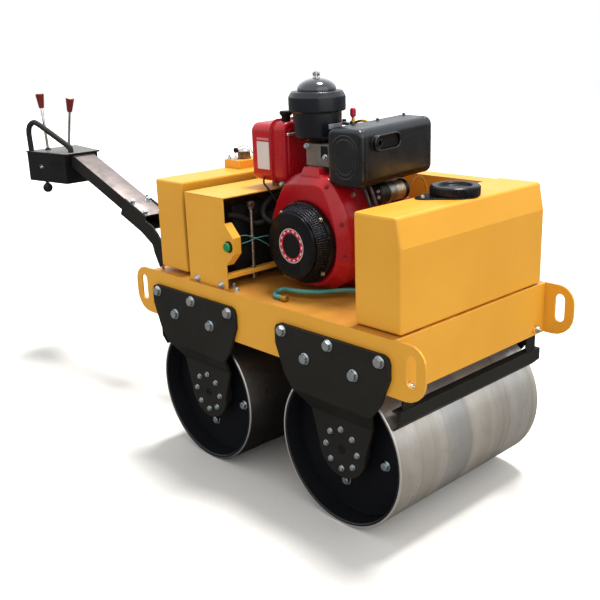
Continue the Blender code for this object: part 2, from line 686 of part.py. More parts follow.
def scraper(end, name):
    """Folded bar along the drum on two straps from behind the cross plate."""
    top = DRUM_RADIUS + SCRAPER_RISE
    knee = top - SCRAPER_LEG
    tip = DRUM_RADIUS + BLADE_RISE
    steel = SCRAPER_STEEL
    face = CROSS_PLATE_X
    edge = AXLE_X + math.sqrt((DRUM_RADIUS + BLADE_GAP) ** 2 - BLADE_RISE ** 2)
    outline = [(face, top), (face, knee), (edge + steel, tip), (edge, tip),
               (face - steel, knee + steel), (face - steel, top - steel),
               (face - SCRAPER_FLANGE, top - steel), (face - SCRAPER_FLANGE, top)]
    half = DRUM_WIDTH / 2
    bar = side_plate([[(end * x, z) for x, z in outline]], -half, half)
    strap_x = sorted((end * (CROSS_PLATE_X - PLATE - FIT), end * (CROSS_PLATE_X - PLATE - FIT - steel)))
    straps = []
    for side in (-1, 1):
        middle = side * strap_y()
        straps.append(box(strap_x, (middle - STRAP_WIDTH / 2, middle + STRAP_WIDTH / 2),
                          (top - steel / 2, FRAME_BOTTOM + STRAP_LAP)))
    return finish(combine(bar, straps), name, "black_paint")


# ------------------------------------------------------------- water tank
def water_tank():
    """Water tank with a leaning upper front edge, on two strips, and its screw cap."""
    foot = DECK + TANK_FOOT_HEIGHT
    top = foot + TANK_HEIGHT
    half = FRAME_HALF_WIDTH - TANK_SETBACK
    outline = ((TANK_REAR_X, foot), (TANK_FRONT_X, foot), (TANK_FRONT_X, top - TANK_SLANT_DEPTH),
               (TANK_FRONT_X - TANK_SLANT, top), (TANK_REAR_X, top))
    tank = bevel(side_plate([outline], -half, half), TANK_EDGE)
    strips = []
    for side in (-1, 1):
        middle = side * TANK_FOOT_Y
        strips.append(box((TANK_REAR_X + TANK_FOOT_WIDTH, TANK_FRONT_X - 2 * TANK_EDGE),
                          (middle - TANK_FOOT_WIDTH / 2, middle + TANK_FOOT_WIDTH / 2),
                          (DECK + FIT, foot + SINK)))
    x, y, z = hose_points()[-1]
    outlet = rod((x + FIT, y, z), (TANK_REAR_X + SINK, y, z), FITTING_RADIUS, steps=12)
    finish(combine(tank, strips + [outlet]), "water_tank", "yellow_paint")
    cap_x = TANK_REAR_X + (TANK_LENGTH - TANK_SLANT) / 2
    profile = ((0, CAP_HEIGHT), (CAP_RADIUS, CAP_HEIGHT), (CAP_RADIUS, CAP_NECK_HEIGHT),
               (CAP_NECK_RADIUS, CAP_NECK_HEIGHT), (CAP_NECK_RADIUS, 0), (0, 0))
    finish(turned(profile, (cap_x, CAP_Y, top + FIT), steps=32), "water_tank_cap", "black_plastic")


# ----------------------------------------------------- tank and pump cover
def oil_tank():
    """Hydraulic oil tank across the rear, its filler box and its breather cap."""
    foot = DECK + OIL_FOOT_HEIGHT
    half = FRAME_HALF_WIDTH - OIL_SETBACK
    tank = bevel(box((OIL_REAR_X, OIL_FRONT_X), (-half, half), (foot, OIL_TOP)), OIL_EDGE)
    strips = []
    for side in (-1, 1):
        middle = side * OIL_FOOT_Y
        strips.append(box((OIL_REAR_X + OIL_FOOT_WIDTH, OIL_FRONT_X - OIL_FOOT_WIDTH),
                          (middle - OIL_FOOT_WIDTH / 2, middle + OIL_FOOT_WIDTH / 2),
                          (DECK + FIT, foot + SINK)))
    filler_x = OIL_REAR_X + FILLER_SETBACK
    filler = box((filler_x, filler_x + FILLER_LENGTH), FILLER_Y,
                 (OIL_TOP - OIL_EDGE, OIL_TOP + FILLER_HEIGHT))
    finish(combine(tank, strips + [filler]), "oil_tank", "yellow_paint")
    profile = ((0, BREATHER_HEIGHT), (BREATHER_RADIUS, BREATHER_HEIGHT),
               (BREATHER_RADIUS, BREATHER_NECK_HEIGHT), (BREATHER_NECK_RADIUS, BREATHER_NECK_HEIGHT),
               (BREATHER_NECK_RADIUS, 0), (0, 0))
    place = (filler_x + FILLER_LENGTH / 2, BREATHER_Y, OIL_TOP + FILLER_HEIGHT + FIT)
    finish(turned(profile, place, steps=24), "breather_cap", "chrome")


def tab_outline(inset):
    """The switch tab's three free edges, moved in by a distance, from the foot up."""
    foot, tip = DECK + TAB_RISE + inset, COVER_FRONT_X + TAB_REACH - inset
    top = foot + TAB_HEIGHT - 2 * inset
    return [(COVER_FRONT_X, foot), (tip, foot + TAB_SLOPE - inset / 2),
            (tip, top - TAB_SLOPE + inset / 2), (COVER_FRONT_X, top)]


def pump_cover():
    """Sheet cover ahead of the oil tank: two sides, a top, and the bar that ties the sides."""
    rear, front = OIL_FRONT_X + COVER_GAP, COVER_FRONT_X
    inner = COVER_HALF_WIDTH - COVER_SHEET
    foot, top = DECK + FIT, DECK + COVER_HEIGHT
    roof = top - COVER_SHEET
    finish(box((rear, front), (-COVER_HALF_WIDTH, COVER_HALF_WIDTH), (roof, top)),
           "pump_cover_top", "yellow_paint")
    plain = [(rear, foot), (front, foot), (front, roof - FIT), (rear, roof - FIT)]
    right = side_plate([plain[:2] + tab_outline(0.0) + plain[2:]], -inner, -COVER_HALF_WIDTH)
    tab = tab_outline(0.0)
    root = front - COVER_SHEET
    rim = side_plate([[(root, tab[0][1])] + tab + [(root, tab[-1][1])]],
                     -COVER_HALF_WIDTH + SINK, -COVER_HALF_WIDTH + TAB_FLANGE)
    tab = tab_outline(COVER_SHEET)
    root = front - 2 * COVER_SHEET
    hollow = side_plate([[(root, tab[0][1])] + tab + [(root, tab[-1][1])]],
                        -inner, -COVER_HALF_WIDTH + 2 * TAB_FLANGE)
    finish(combine(right, [cut(rim, [hollow])]), "pump_cover_right", "yellow_paint")
    finish(side_plate([plain], inner, COVER_HALF_WIDTH), "pump_cover_left", "yellow_paint")
    reach = inner - FIT
    bar_foot = DECK + BAR_RISE
    bar = box((BAR_X - BAR_DEPTH / 2, BAR_X + BAR_DEPTH / 2), (-reach, reach),
              (bar_foot, bar_foot + BAR_HEIGHT))
    rod_y = ROD_SETBACK - COVER_HALF_WIDTH
    foot = bar_foot - ROD_BELOW
    stud = rod((BAR_X, rod_y, foot), (BAR_X, rod_y, foot + ROD_HEIGHT), ROD_RADIUS, steps=12)
    finish(combine(bar, [stud]), "tie_bar", "yellow_paint")
    length, width, height = BATTERY_SIZE
    end = BAR_X - BAR_DEPTH / 2 - BATTERY_GAP
    finish(box((end - length, end), (BATTERY_Y - width / 2, BATTERY_Y + width / 2),
               (DECK + BATTERY_RISE, DECK + BATTERY_RISE + height)), "battery", "black_plastic")


# ---------------------------------------------------------------- engine
def from_crank(pair):
    """Two distances along X from the crankshaft, as places."""
    return (CRANK_X + pair[0], CRANK_X + pair[1])


def engine_body():
    """Base plate, crankcase with its air cowl, cylinder with fins, head and rocker cover."""
    foot = DECK + FIT
    finish(box(from_crank(BASE_X), (-BASE_HALF_WIDTH, BASE_HALF_WIDTH), (foot, DECK + BASE_THICKNESS)),
           "engine_base", "yellow_paint")
    case_x = from_crank((-CASE_HALF_LENGTH, CASE_HALF_LENGTH))
    case = box(case_x, (SHROUD_BACK_Y + FIT, CASE_BACK_Y), (DECK + BASE_THICKNESS + FIT, CASE_TOP))
    outline = [(CRANK_X + x, CASE_TOP + z) for x, z in COWL_OUTLINE]
    cowl = side_plate([outline], SHROUD_BACK_Y + FIT, COWL_BACK_Y)
    finish(combine(bevel(case, SHROUD_EDGE), [cowl]), "crankcase", "cast_aluminium")
    barrel_x = from_crank((-BARREL_HALF_WIDTH, BARREL_HALF_WIDTH))
    barrel = box(barrel_x, (BARREL_FRONT_Y, BARREL_BACK_Y), (CASE_TOP + FIT, BARREL_TOP))
    gap = BARREL_HEIGHT / (FIN_COUNT + 1)
    fins = []
    for k in range(FIN_COUNT):
        z = CASE_TOP + gap * (k + 1)
        fins.append(box((barrel_x[0] - FIN_REACH, barrel_x[1] + FIN_REACH),
                        (BARREL_FRONT_Y + FIN_REACH, BARREL_BACK_Y + FIN_REACH),
                        (z, z + FIN_THICKNESS)))
    finish(combine(barrel, fins), "cylinder", "cast_aluminium")
    head = box(barrel_x, (HEAD_FRONT_Y, BARREL_BACK_Y), (BARREL_TOP + FIT, HEAD_TOP))
    finish(head, "cylinder_head", "cast_aluminium")
    rocker_top = HEAD_TOP + ROCKER_HEIGHT
    cover = bevel(box(from_crank(ROCKER_X), ROCKER_Y, (HEAD_TOP + FIT, rocker_top)), ROCKER_EDGE)
    knob_x, neck_top = CRANK_X + KNOB_X, rocker_top + KNOB_NECK
    neck = rod((knob_x, KNOB_Y, rocker_top - SINK), (knob_x, KNOB_Y, neck_top), KNOB_NECK_RADIUS)
    knob = rod((knob_x, KNOB_Y, neck_top - SINK), (knob_x, KNOB_Y, neck_top + KNOB_HEIGHT), KNOB_RADIUS)
    finish(combine(cover, [neck, knob]), "rocker_cover", "cast_aluminium")
    guard_y = GUARD_BACK_Y - GUARD_WIDTH
    finish(rod((CRANK_X, CASE_BACK_Y + FIT, CRANK_Z), (CRANK_X, guard_y - FIT, CRANK_Z), SHAFT_OUT_RADIUS),
           "output_shaft", "machined_steel")


def cooling_shroud():
    """Fan shroud: a round housing that narrows to a duct at the cylinder head."""
    foot = DECK + SHROUD_FOOT_GAP
    outline = [(CRANK_X + x, foot + z, radius) for x, z, radius in SHROUD_FOOT]
    outline += [(CRANK_X + x, CRANK_Z + z, radius) for x, z, radius in SHROUD_OUTLINE]
    body = bevel(side_plate([rounded(outline, steps=3)], SHROUD_BACK_Y, SHROUD_FRONT_Y), SHROUD_EDGE)
    duct = box(from_crank((-DUCT_HALF_WIDTH, DUCT_HALF_WIDTH)),
               (SHROUD_FRONT_Y + DUCT_SETBACK, HEAD_FRONT_Y - FIT),
               (BARREL_TOP + DUCT_Z[0], BARREL_TOP + DUCT_Z[1]))
    return finish(combine(body, [duct]), "cooling_shroud", "red_paint")


def recoil_starter():
    """Three stepped tiers on the shroud, along the crankshaft's axis."""
    profile, height = [], 0.0
    for radius, depth in RECOIL_TIERS:
        profile += [(radius, height), (radius, height + depth)]
        height += depth
    profile = [(0, height)] + profile[::-1] + [(0, 0)]
    place = (CRANK_X, SHROUD_FRONT_Y - FIT, CRANK_Z)
    return finish(turned(profile, place, (0, -1, 0), steps=48), "recoil_starter", "black_plastic")


def fuel_tank():
    """Pressed steel fuel tank with a seam round its middle, and its cap."""
    z = (HEAD_TOP + FUEL_Z[0], HEAD_TOP + FUEL_Z[1])
    tank = bevel(box(from_crank(FUEL_X), FUEL_Y, z), FUEL_EDGE, segments=3)
    seam_x = CRANK_X + FUEL_SEAM_X
    seam = box((seam_x - FUEL_SEAM_THICKNESS / 2, seam_x + FUEL_SEAM_THICKNESS / 2),
               (FUEL_Y[0] - FUEL_SEAM_REACH, FUEL_Y[1] + FUEL_SEAM_REACH),
               (z[0] - FUEL_SEAM_REACH, z[1] + FUEL_SEAM_REACH))
    finish(combine(tank, [seam]), "fuel_tank", "red_paint")
    foot = Vector((CRANK_X + FUEL_CAP_X, FUEL_CAP_Y, z[1] + FIT))
    finish(rod(foot, foot + Vector((0, 0, FUEL_CAP_HEIGHT)), FUEL_CAP_RADIUS), "fuel_cap", "black_plastic")


def air_cleaner():
    """Oil-bath air cleaner, turned from its wing nut to its foot."""
    foot = (CRANK_X + FILTER_X, FILTER_Y, HEAD_TOP + FILTER_GAP)
    return finish(turned(FILTER_PROFILE, foot, steps=40), "air_cleaner", "black_paint")


def muffler():
    """Box silencer along the crankshaft, with an oval outlet on its front side."""
    x = from_crank(MUFFLER_X)
    body = bevel(box(x, MUFFLER_Y, (HEAD_TOP + MUFFLER_Z[0], HEAD_TOP + MUFFLER_Z[1])),
                 MUFFLER_EDGE, segments=3)
    reach = OUTLET_HALF_LENGTH - OUTLET_HALF_HEIGHT
    z = HEAD_TOP + OUTLET_Z
    x = (x[1] - SINK, x[1] + OUTLET_DEPTH)
    outlet = box(x, (OUTLET_Y - reach, OUTLET_Y + reach), (z - OUTLET_HALF_HEIGHT, z + OUTLET_HALF_HEIGHT))
    ends = [rod((x[0], OUTLET_Y + s * reach, z), (x[1], OUTLET_Y + s * reach, z), OUTLET_HALF_HEIGHT)
            for s in (-1, 1)]
    return finish(combine(body, [combine(outlet, ends)]), "muffler", "black_paint")


def starter_motor():
    """Electric starter along the crankshaft, below the muffler."""
    x, z = CRANK_X + STARTER_X, CRANK_Z + STARTER_RISE
    body = rod((x, STARTER_Y[0], z), (x, STARTER_Y[1], z), STARTER_RADIUS, steps=32)
    lug = box((CRANK_X + CASE_HALF_LENGTH - STARTER_LUG_LAP, x), STARTER_LUG_Y,
              (CASE_TOP + FIT, z + STARTER_LUG_HALF_HEIGHT))
    return finish(combine(body, [lug]), "starter_motor", "cast_aluminium")


def belt_guard():
    """Sheet guard over the belt drive on the left, open below."""
    x = (BAR_X + BAR_DEPTH / 2 + GUARD_REAR_GAP, TANK_REAR_X - GUARD_FRONT_GAP)
    y = (GUARD_BACK_Y - GUARD_WIDTH, GUARD_BACK_Y)
    top = DECK + GUARD_HEIGHT
    guard = box(x, y, (DECK + FIT, top))
    inside = box((x[0] + COVER_SHEET, x[1] - COVER_SHEET), (y[0] + COVER_SHEET, y[1] - COVER_SHEET),
                 (DECK - RUN, top - COVER_SHEET))
    return finish(cut(guard, [inside]), "belt_guard", "yellow_paint")


def hose_points():
    """The hose's middle line from the deck fitting to the tank's outlet."""
    reach = TANK_REAR_X - OUTLET_PIPE_LENGTH - HOSE_START_X
    low = DECK + HOSE_RADIUS + 2 * FIT
    return [(HOSE_START_X + share * reach, y, low + lift) for share, y, lift in HOSE_ROUTE]


def water_hose():
    """Hose from the brass deck fitting to the tank's outlet."""
    route = hose_points()
    finish(tube(route, HOSE_RADIUS, resolution=2), "water_hose", "teal_hose")
    x, y, z = route[0]
    finish(rod((x + FIT, y, z), (x + FITTING_LENGTH, y, z), FITTING_RADIUS, steps=12),
           "deck_fitting", "brass")


# ---------------------------------------------------------------- handle
def arc_points(radius, degrees, steps):
    """Points round the pin, in X and Z."""
    points = []
    for k in range(steps + 1):
        angle = math.radians(degrees[0] + (degrees[1] - degrees[0]) * k / steps)
        points.append((PIVOT_X + radius * math.cos(angle), PIVOT_Z + radius * math.sin(angle)))
    return points


def handle_bracket():
    """Two ears on the rear cross plate, with the pin that the handle tilts on."""
    face = -CROSS_PLATE_X - FIT
    foot = FRAME_BOTTOM + BRACKET_RISE
    top = foot + BRACKET_HEIGHT
    base = box((face - BRACKET_BASE, face), (-BRACKET_HALF_WIDTH, BRACKET_HALF_WIDTH), (foot, top))
    root = face - BRACKET_BASE / 2
    ear = [(root, foot), (root, top)] + arc_points(EAR_RADIUS, EAR_ARC, EAR_STEPS)
    for side in (-1, 1):
        combine(base, [side_plate([ear], side * EAR_Y, side * (EAR_Y + EAR_THICKNESS))])
    outer = ARM_HALF_WIDTH + FIT + FORK_THICKNESS + PIN_RUN
    pin = rod((PIVOT_X, -outer - SINK, PIVOT_Z), (PIVOT_X, outer + SINK, PIVOT_Z), PIN_RADIUS)
    heads = [rod((PIVOT_X, s * outer, PIVOT_Z), (PIVOT_X, s * (outer + PIN_HEAD_LENGTH), PIVOT_Z),
                 PIN_HEAD_RADIUS) for s in (-1, 1)]
    finish(combine(base, [combine(pin, heads)]), "handle_bracket", "black_paint")


def along_arm(distance, depth):
    """Point at a distance up the arm from its foot, and a depth below its top plate."""
    c, s = math.cos(ARM_TILT), math.sin(ARM_TILT)
    return (ARM_X - distance * c - depth * s, ARM_Z + distance * s - depth * c)


def arm_height(x, depth):
    """Height of the line at a depth below the arm's top plate, at a place along X."""
    return ARM_Z + (ARM_X - x) * math.tan(ARM_TILT) - depth / math.cos(ARM_TILT)


def from_pin(pairs):
    return [(PIVOT_X + x, PIVOT_Z + z) for x, z in pairs]


def handle_fork():
    """Channel under the arm whose sides run down to the pin as two curved horns."""
    outline = [along_arm(FORK_LAP, FORK_DEPTH), along_arm(FORK_LAP_TOP, -FORK_RISE),
               along_arm(0.0, -FORK_RISE)]
    outline += from_pin(HORN_UPPER)
    outline += arc_points(FORK_EYE_RADIUS, FORK_EYE_ARC, FORK_EYE_STEPS)
    outline += from_pin(HORN_LOWER)
    outline.append(along_arm(0.0, FORK_DEPTH))
    parts = []
    inner, outer = ARM_HALF_WIDTH + FIT, ARM_HALF_WIDTH + FIT + FORK_THICKNESS
    for side in (-1, 1):
        horn = side_plate([outline], side * inner, side * outer)
        hole = rod((PIVOT_X, side * (inner - RUN), PIVOT_Z), (PIVOT_X, side * (outer + RUN), PIVOT_Z),
                   PIN_RADIUS + PIN_RUN)
        parts.append(cut(horn, [hole]))
    web = [along_arm(FORK_LAP, FORK_DEPTH), along_arm(FORK_LAP, FORK_DEPTH - FORK_THICKNESS),
           along_arm(0.0, FORK_DEPTH - FORK_THICKNESS), along_arm(0.0, FORK_DEPTH)]
    floor = side_plate([web], -inner - FORK_THICKNESS / 2, inner + FORK_THICKNESS / 2)
    return finish(combine(floor, parts), "handle_fork", "black_paint")


def handle_arm():
    """Arm from the fork up to the console, a channel open below."""
    end = CONSOLE_FRONT_X + FIT
    under_lid = CONSOLE_TOP - FIT
    lid_x = end + (arm_height(end, 0.0) - under_lid) / math.tan(ARM_TILT)
    corners = [along_arm(0.0, 0.0), (lid_x, under_lid), (end, under_lid),
               (end, arm_height(end, ARM_DEPTH)), along_arm(0.0, ARM_DEPTH)]
    arm = side_plate([corners], -ARM_HALF_WIDTH, ARM_HALF_WIDTH)
    stop = end + ARM_WALL
    lid_x += 2 * ARM_WALL
    inside = [along_arm(-ARM_WALL, ARM_WALL), (lid_x, arm_height(lid_x, ARM_WALL)),
              (stop, arm_height(lid_x, ARM_WALL)),
              (stop, arm_height(stop, 2 * ARM_DEPTH)), along_arm(-ARM_WALL, 2 * ARM_DEPTH)]
    half = ARM_HALF_WIDTH - ARM_WALL
    return finish(cut(arm, [side_plate([inside], -half, half)]), "handle_arm", "black_paint")


def tapered_block(front, rear, front_half, rear_half, bottom, top):
    """A block whose sides spread towards the rear."""
    obj = box((rear, front), (-1, 1), (bottom, top))
    for vertex in obj.data.vertices:
        at_rear = vertex.co.x < 0
        vertex.co.y = math.copysign(rear_half if at_rear else front_half, vertex.co.y)
    return obj


def console():
    """Control console with its lid and grab loop."""
    body = tapered_block(CONSOLE_FRONT_X, CONSOLE_REAR_X, CONSOLE_FRONT_HALF, CONSOLE_REAR_HALF,
                         CONSOLE_BOTTOM, CONSOLE_TOP + SINK)
    lid = tapered_block(CONSOLE_FRONT_X + LID_FRONT_OVERHANG, CONSOLE_REAR_X - LID_OVERHANG,
                        CONSOLE_FRONT_HALF + LID_OVERHANG, CONSOLE_REAR_HALF + LID_OVERHANG,
                        CONSOLE_TOP, LID_TOP)
    finish(combine(body, [lid]), "console", "black_paint")
    loop = [(CONSOLE_REAR_X + x, y, LID_TOP + z) for x, y, z in LOOP_ROUTE]
    finish(tube(loop, LOOP_RADIUS, resolution=3), "grab_loop", "black_plastic")


def controls():
    """The two levers on the console's lid and the hand knob below it."""
    for name, ahead, y, lean, height in LEVERS:
        foot = Vector((CONSOLE_REAR_X + ahead, y, LID_TOP + FIT))
        boot = rod(foot, foot + Vector((0, 0, BOOT_HEIGHT)), BOOT_RADIUS, steps=16)
        foot.z += BOOT_HEIGHT / 2
        neck = foot + Vector((lean, 0, height))
        way = (neck - foot).normalized()
        profile = ((0, GRIP_LENGTH), (GRIP_TOP_RADIUS, GRIP_LENGTH), (GRIP_FOOT_RADIUS, 0), (0, 0))
        grip = turned(profile, neck - way * SINK, way, steps=20)
        finish(combine(boot, [rod(foot, neck, LEVER_RADIUS, steps=12), grip]), name, "red_grip")
    x, z = CONSOLE_REAR_X + HAND_KNOB_AHEAD, CONSOLE_BOTTOM - HAND_KNOB_DROP
    stem = rod((x, HAND_KNOB_Y, z), (x, HAND_KNOB_Y, CONSOLE_BOTTOM - FIT), HAND_KNOB_STEM, steps=12)
    bpy.ops.mesh.primitive_uv_sphere_add(segments=16, ring_count=8, radius=HAND_KNOB_RADIUS,
                                         location=(x, HAND_KNOB_Y, z))
    finish(combine(stem, [bpy.context.object]), "hand_knob", "black_plastic")


# -------------------------------------------------------------- assembly
def body_empty(name, place, parent=None):
    empty = bpy.data.objects.new(name, None)
    empty.location = place
    empty.parent = parent
    bpy.context.scene.collection.objects.link(empty)
    return empty


def carry(objects, empty, place):
    """Parent pieces to an empty that stands at the given place, without moving them."""
    for obj in objects:
        obj.parent = empty
        obj.matrix_parent_inverse = Matrix.Translation(-Vector(place))


def new_pieces(build, *arguments):
    """Run a building function and return the mesh objects that it leaves behind."""
    before = set(bpy.data.objects)
    build(*arguments)
    return [obj for obj in bpy.data.objects if obj not in before]


def build_chassis():
    for side, word in ((-1, "right"), (1, "left")):
        side_members(side, "side_member_" + word)
        for end, place in ((1, "front"), (-1, "rear")):
            hanger(end * AXLE_X, side, f"hanger_{place}_{word}")
    for end, place in ((1, "front"), (-1, "rear")):
        cross_plate(end, "cross_plate_" + place)
        scraper(end, "scraper_" + place)
    for build in (deck, water_tank, oil_tank, pump_cover, engine_body, cooling_shroud, recoil_starter,
                  fuel_tank, air_cleaner, muffler, starter_motor, belt_guard, water_hose, handle_bracket):
        build()


def build_handle():
    for build in (handle_fork, handle_arm, console, controls):
        build()


def main():
    clear_scene()
    roller = body_empty("roller", (CENTRE_SHIFT, 0, 0))
    groups = [(new_pieces(build_chassis), roller, (0, 0, 0))]
    for end, word in ((1, "front"), (-1, "rear")):
        place = (end * AXLE_X, 0, DRUM_RADIUS)
        axle = body_empty(f"{word}_axle", place, roller)
        groups.append((new_pieces(drum, end * AXLE_X, f"drum_{word}"), axle, place))
    place = (PIVOT_X, 0, PIVOT_Z)
    pivot = body_empty("handle_pivot", place, roller)
    groups.append((new_pieces(build_handle), pivot, place))
    collection = bpy.data.collections.new("road_roller")
    bpy.context.scene.collection.children.link(collection)
    for objects, empty, place in groups:
        carry(objects, empty, place)
        for obj in objects:
            for owner in list(obj.users_collection):
                owner.objects.unlink(obj)
            collection.objects.link(obj)
            obj.data.shade_smooth()
            obj.data.set_sharp_from_angle(angle=math.radians(35))


if __name__ == "__main__":
    main()
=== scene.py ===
"""Walk-behind double-drum road roller: its finishes, fittings, floor, light and camera."""
import math
from functools import partial

import bmesh
import bpy
import numpy as np
from bpy.props import FloatProperty, PointerProperty, StringProperty
from mathutils import Matrix, Vector


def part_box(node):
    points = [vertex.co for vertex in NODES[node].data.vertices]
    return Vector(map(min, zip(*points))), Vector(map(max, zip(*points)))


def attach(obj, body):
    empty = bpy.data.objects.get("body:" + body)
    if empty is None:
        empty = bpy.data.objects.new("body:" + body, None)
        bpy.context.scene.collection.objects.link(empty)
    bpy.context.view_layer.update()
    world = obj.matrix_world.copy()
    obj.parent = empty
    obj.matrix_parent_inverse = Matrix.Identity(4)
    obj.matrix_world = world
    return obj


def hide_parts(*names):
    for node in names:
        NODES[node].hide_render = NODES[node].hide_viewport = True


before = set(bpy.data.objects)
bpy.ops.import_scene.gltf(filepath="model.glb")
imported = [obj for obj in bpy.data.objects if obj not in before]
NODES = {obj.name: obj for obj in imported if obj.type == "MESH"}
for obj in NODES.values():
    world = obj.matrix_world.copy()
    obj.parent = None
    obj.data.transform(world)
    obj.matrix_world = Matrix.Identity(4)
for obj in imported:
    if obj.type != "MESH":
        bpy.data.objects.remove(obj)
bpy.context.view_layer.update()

bl_info = {
    "name": "Road Roller Finishes",
    "version": (1, 0, 0),
    "blender": (4, 5, 0),
    "location": "View3D > Sidebar > Road Roller",
    "description": "Finishes and fittings of a walk-behind double-drum road roller",
    "category": "Object",
}


# ------------------------------------------------------------- where things are
def low(node):
    return np.array(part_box(node)[0])


def high(node):
    return np.array(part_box(node)[1])


def middle(node):
    return (low(node) + high(node)) / 2


def foot_of(node):
    """Middle of a node's underside."""
    return middle(node) * (1, 1, 0) + low(node) * (0, 0, 1)


AXLES = {"front": middle("drum_front_shell"), "rear": middle("drum_rear_shell")}
DRUM_RADIUS = AXLES["front"][2]
DRUM_HALF = high("drum_front_shell")[1]
CRANK = middle("recoil_starter")
RECOIL = CRANK * (1, 0, 1) + high("recoil_starter") * (0, 1, 0)
DECK = high("deck_plate")[2]
LID = high("console")[2]
CONSOLE_REAR = low("console")[0] + 0.003
MIDDLE_X = (AXLES["front"][0] + AXLES["rear"][0]) / 2
HEAD_TOP = high("cylinder_head")[2]
RIGHT = (0, -1, 0)   # towards the roller's right side
FIT = 0.0002         # gap between a fitting's foot and what it stands on


# ------------------------------------------------------------------- shapes
# A shape is (points, faces): points is an array of places, faces a list of index arrays.
def grid_faces(rows, columns, wrap_rows=False, wrap_columns=True):
    """Quads between neighbouring points of a grid, row by row."""
    r, c = np.meshgrid(np.arange(rows if wrap_rows else rows - 1),
                       np.arange(columns if wrap_columns else columns - 1), indexing="ij")
    next_r, next_c = (r + 1) % rows, (c + 1) % columns
    quads = np.stack([r * columns + c, r * columns + next_c,
                      next_r * columns + next_c, next_r * columns + c], -1)
    return quads.reshape(-1, 4)


def skin(rings, wrap=False, capped=True):
    """Skin over a stack of rings, given as an array of (rings, points a ring, 3)."""
    rings = np.asarray(rings, float)
    count, around = rings.shape[:2]
    faces = [grid_faces(count, around, wrap)]
    if capped and not wrap:
        faces += [np.arange(around)[None], (count - 1) * around + np.arange(around)[None]]
    return rings.reshape(-1, 3), faces


def joined(*shapes):
    """Several shapes as one: each one's face indices move on by the points before it."""
    points, faces, before = [], [], 0
    for shape_points, shape_faces in shapes:
        points.append(shape_points)
        faces += [f + before for f in shape_faces]
        before += len(shape_points)
    return np.concatenate(points), faces


def facing(axis):
    """Rows of a turn that takes +Z to an axis: two directions square to it, and the axis."""
    axis = np.array(axis, float) / np.linalg.norm(axis)
    helper = np.array((0.0, 0.0, 1.0)) if abs(axis[2]) < 0.9 else np.array((0.0, 1.0, 0.0))
    side = np.cross(helper, axis)
    side /= np.linalg.norm(side)
    return np.stack([side, np.cross(axis, side), axis])


def placed(shape, place, axis=(0, 0, 1)):
    """A shape made about +Z, turned so that +Z lies along an axis, and moved to a place."""
    return shape[0] @ facing(axis) + np.array(place, float), shape[1]


def moved(shape, place, order=(0, 1, 2), signs=(1, 1, 1)):
    """A shape moved to a place, once its X, Y and Z are taken from other axes with these signs."""
    return shape[0][:, order] * signs + place, shape[1]


def repeated(shape, places, axis=(0, 0, 1)):
    """Copies of one shape at several places, all turned the same way."""
    return joined(*[placed(shape, place, axis) for place in places])


def turned(profile, around=64, closed=False):
    """Turned form: a point (radius, height) goes round Z as r cos a, r sin a, height."""
    radius, height = np.array(profile, float).T
    angle = np.arange(around) * 2 * math.pi / around
    rings = np.stack([radius[:, None] * np.cos(angle), radius[:, None] * np.sin(angle),
                      height[:, None] + 0 * angle], -1)
    return skin(rings, wrap=closed)


def softened(profile, bend=0.0015, steps=3):
    """Profile with each inner corner cut back by a length and joined by a parabola."""
    p = np.array(profile, float)
    before, here, after = p[:-2], p[1:-1], p[2:]
    back, ahead = before - here, after - here
    back_len = np.linalg.norm(back, axis=1, keepdims=True)
    ahead_len = np.linalg.norm(ahead, axis=1, keepdims=True)
    a = here + back / back_len * np.minimum(bend, back_len * 0.45)
    b = here + ahead / ahead_len * np.minimum(bend, ahead_len * 0.45)
    t = np.linspace(0, 1, steps + 1)[None, :, None]
    curve = (1 - t) ** 2 * a[:, None] + 2 * t * (1 - t) * here[:, None] + t ** 2 * b[:, None]
    return np.concatenate([p[:1], curve.reshape(-1, 2), p[-1:]])


def lathe(profile, bend, steps, around):
    """Turned form of a profile whose inner corners are softened."""
    return turned(softened(profile, bend, steps), around)


def round_rectangle(half_x, half_y, corner, steps=6):
    """Points round a rectangle: each corner's centre plus a quarter circle of the corner radius.

    The three sizes may be arrays, which gives one ring for each of their values.
    """
    half_x, half_y, corner = np.broadcast_arrays(*[np.atleast_1d(v).astype(float)
                                                   for v in (half_x, half_y, corner)])
    turn = np.linspace(0, math.pi / 2, steps + 1)
    angle = (np.arange(4)[:, None] * math.pi / 2 + turn).ravel()
    sign_x = np.repeat((1, -1, -1, 1), steps + 1)
    sign_y = np.repeat((1, 1, -1, -1), steps + 1)
    x = sign_x * (half_x - corner)[:, None] + corner[:, None] * np.cos(angle)
    y = sign_y * (half_y - corner)[:, None] + corner[:, None] * np.sin(angle)
    return np.stack([x, y], -1)


def pressed_box(half_x, half_y, corner, profile, steps=6):
    """Box with round corners whose outline is drawn in by an inset at each height.

    The profile lists (inset, height); a ring is the round rectangle made smaller by the inset.
    """
    inset, height = np.array(profile, float).T
    rings = round_rectangle(half_x - inset, half_y - inset, np.maximum(corner - inset, 0.0004), steps)
    z = np.broadcast_to(height[:, None, None], rings.shape[:2] + (1,))
    return skin(np.concatenate([rings, z], -1))


def edge_profile(height, bend, steps=5, foot_bend=None):
    """(inset, height) up a box's side, with a quarter circle at its foot and at its top."""
    foot_bend = bend if foot_bend is None else foot_bend
    turn = np.linspace(0, math.pi / 2, steps + 1)
    foot = np.stack([foot_bend * (1 - np.sin(turn)), foot_bend * (1 - np.cos(turn))], -1)
    top = np.stack([bend * (1 - np.cos(turn)), height - bend * (1 - np.sin(turn))], -1)
    return np.concatenate([foot, top])


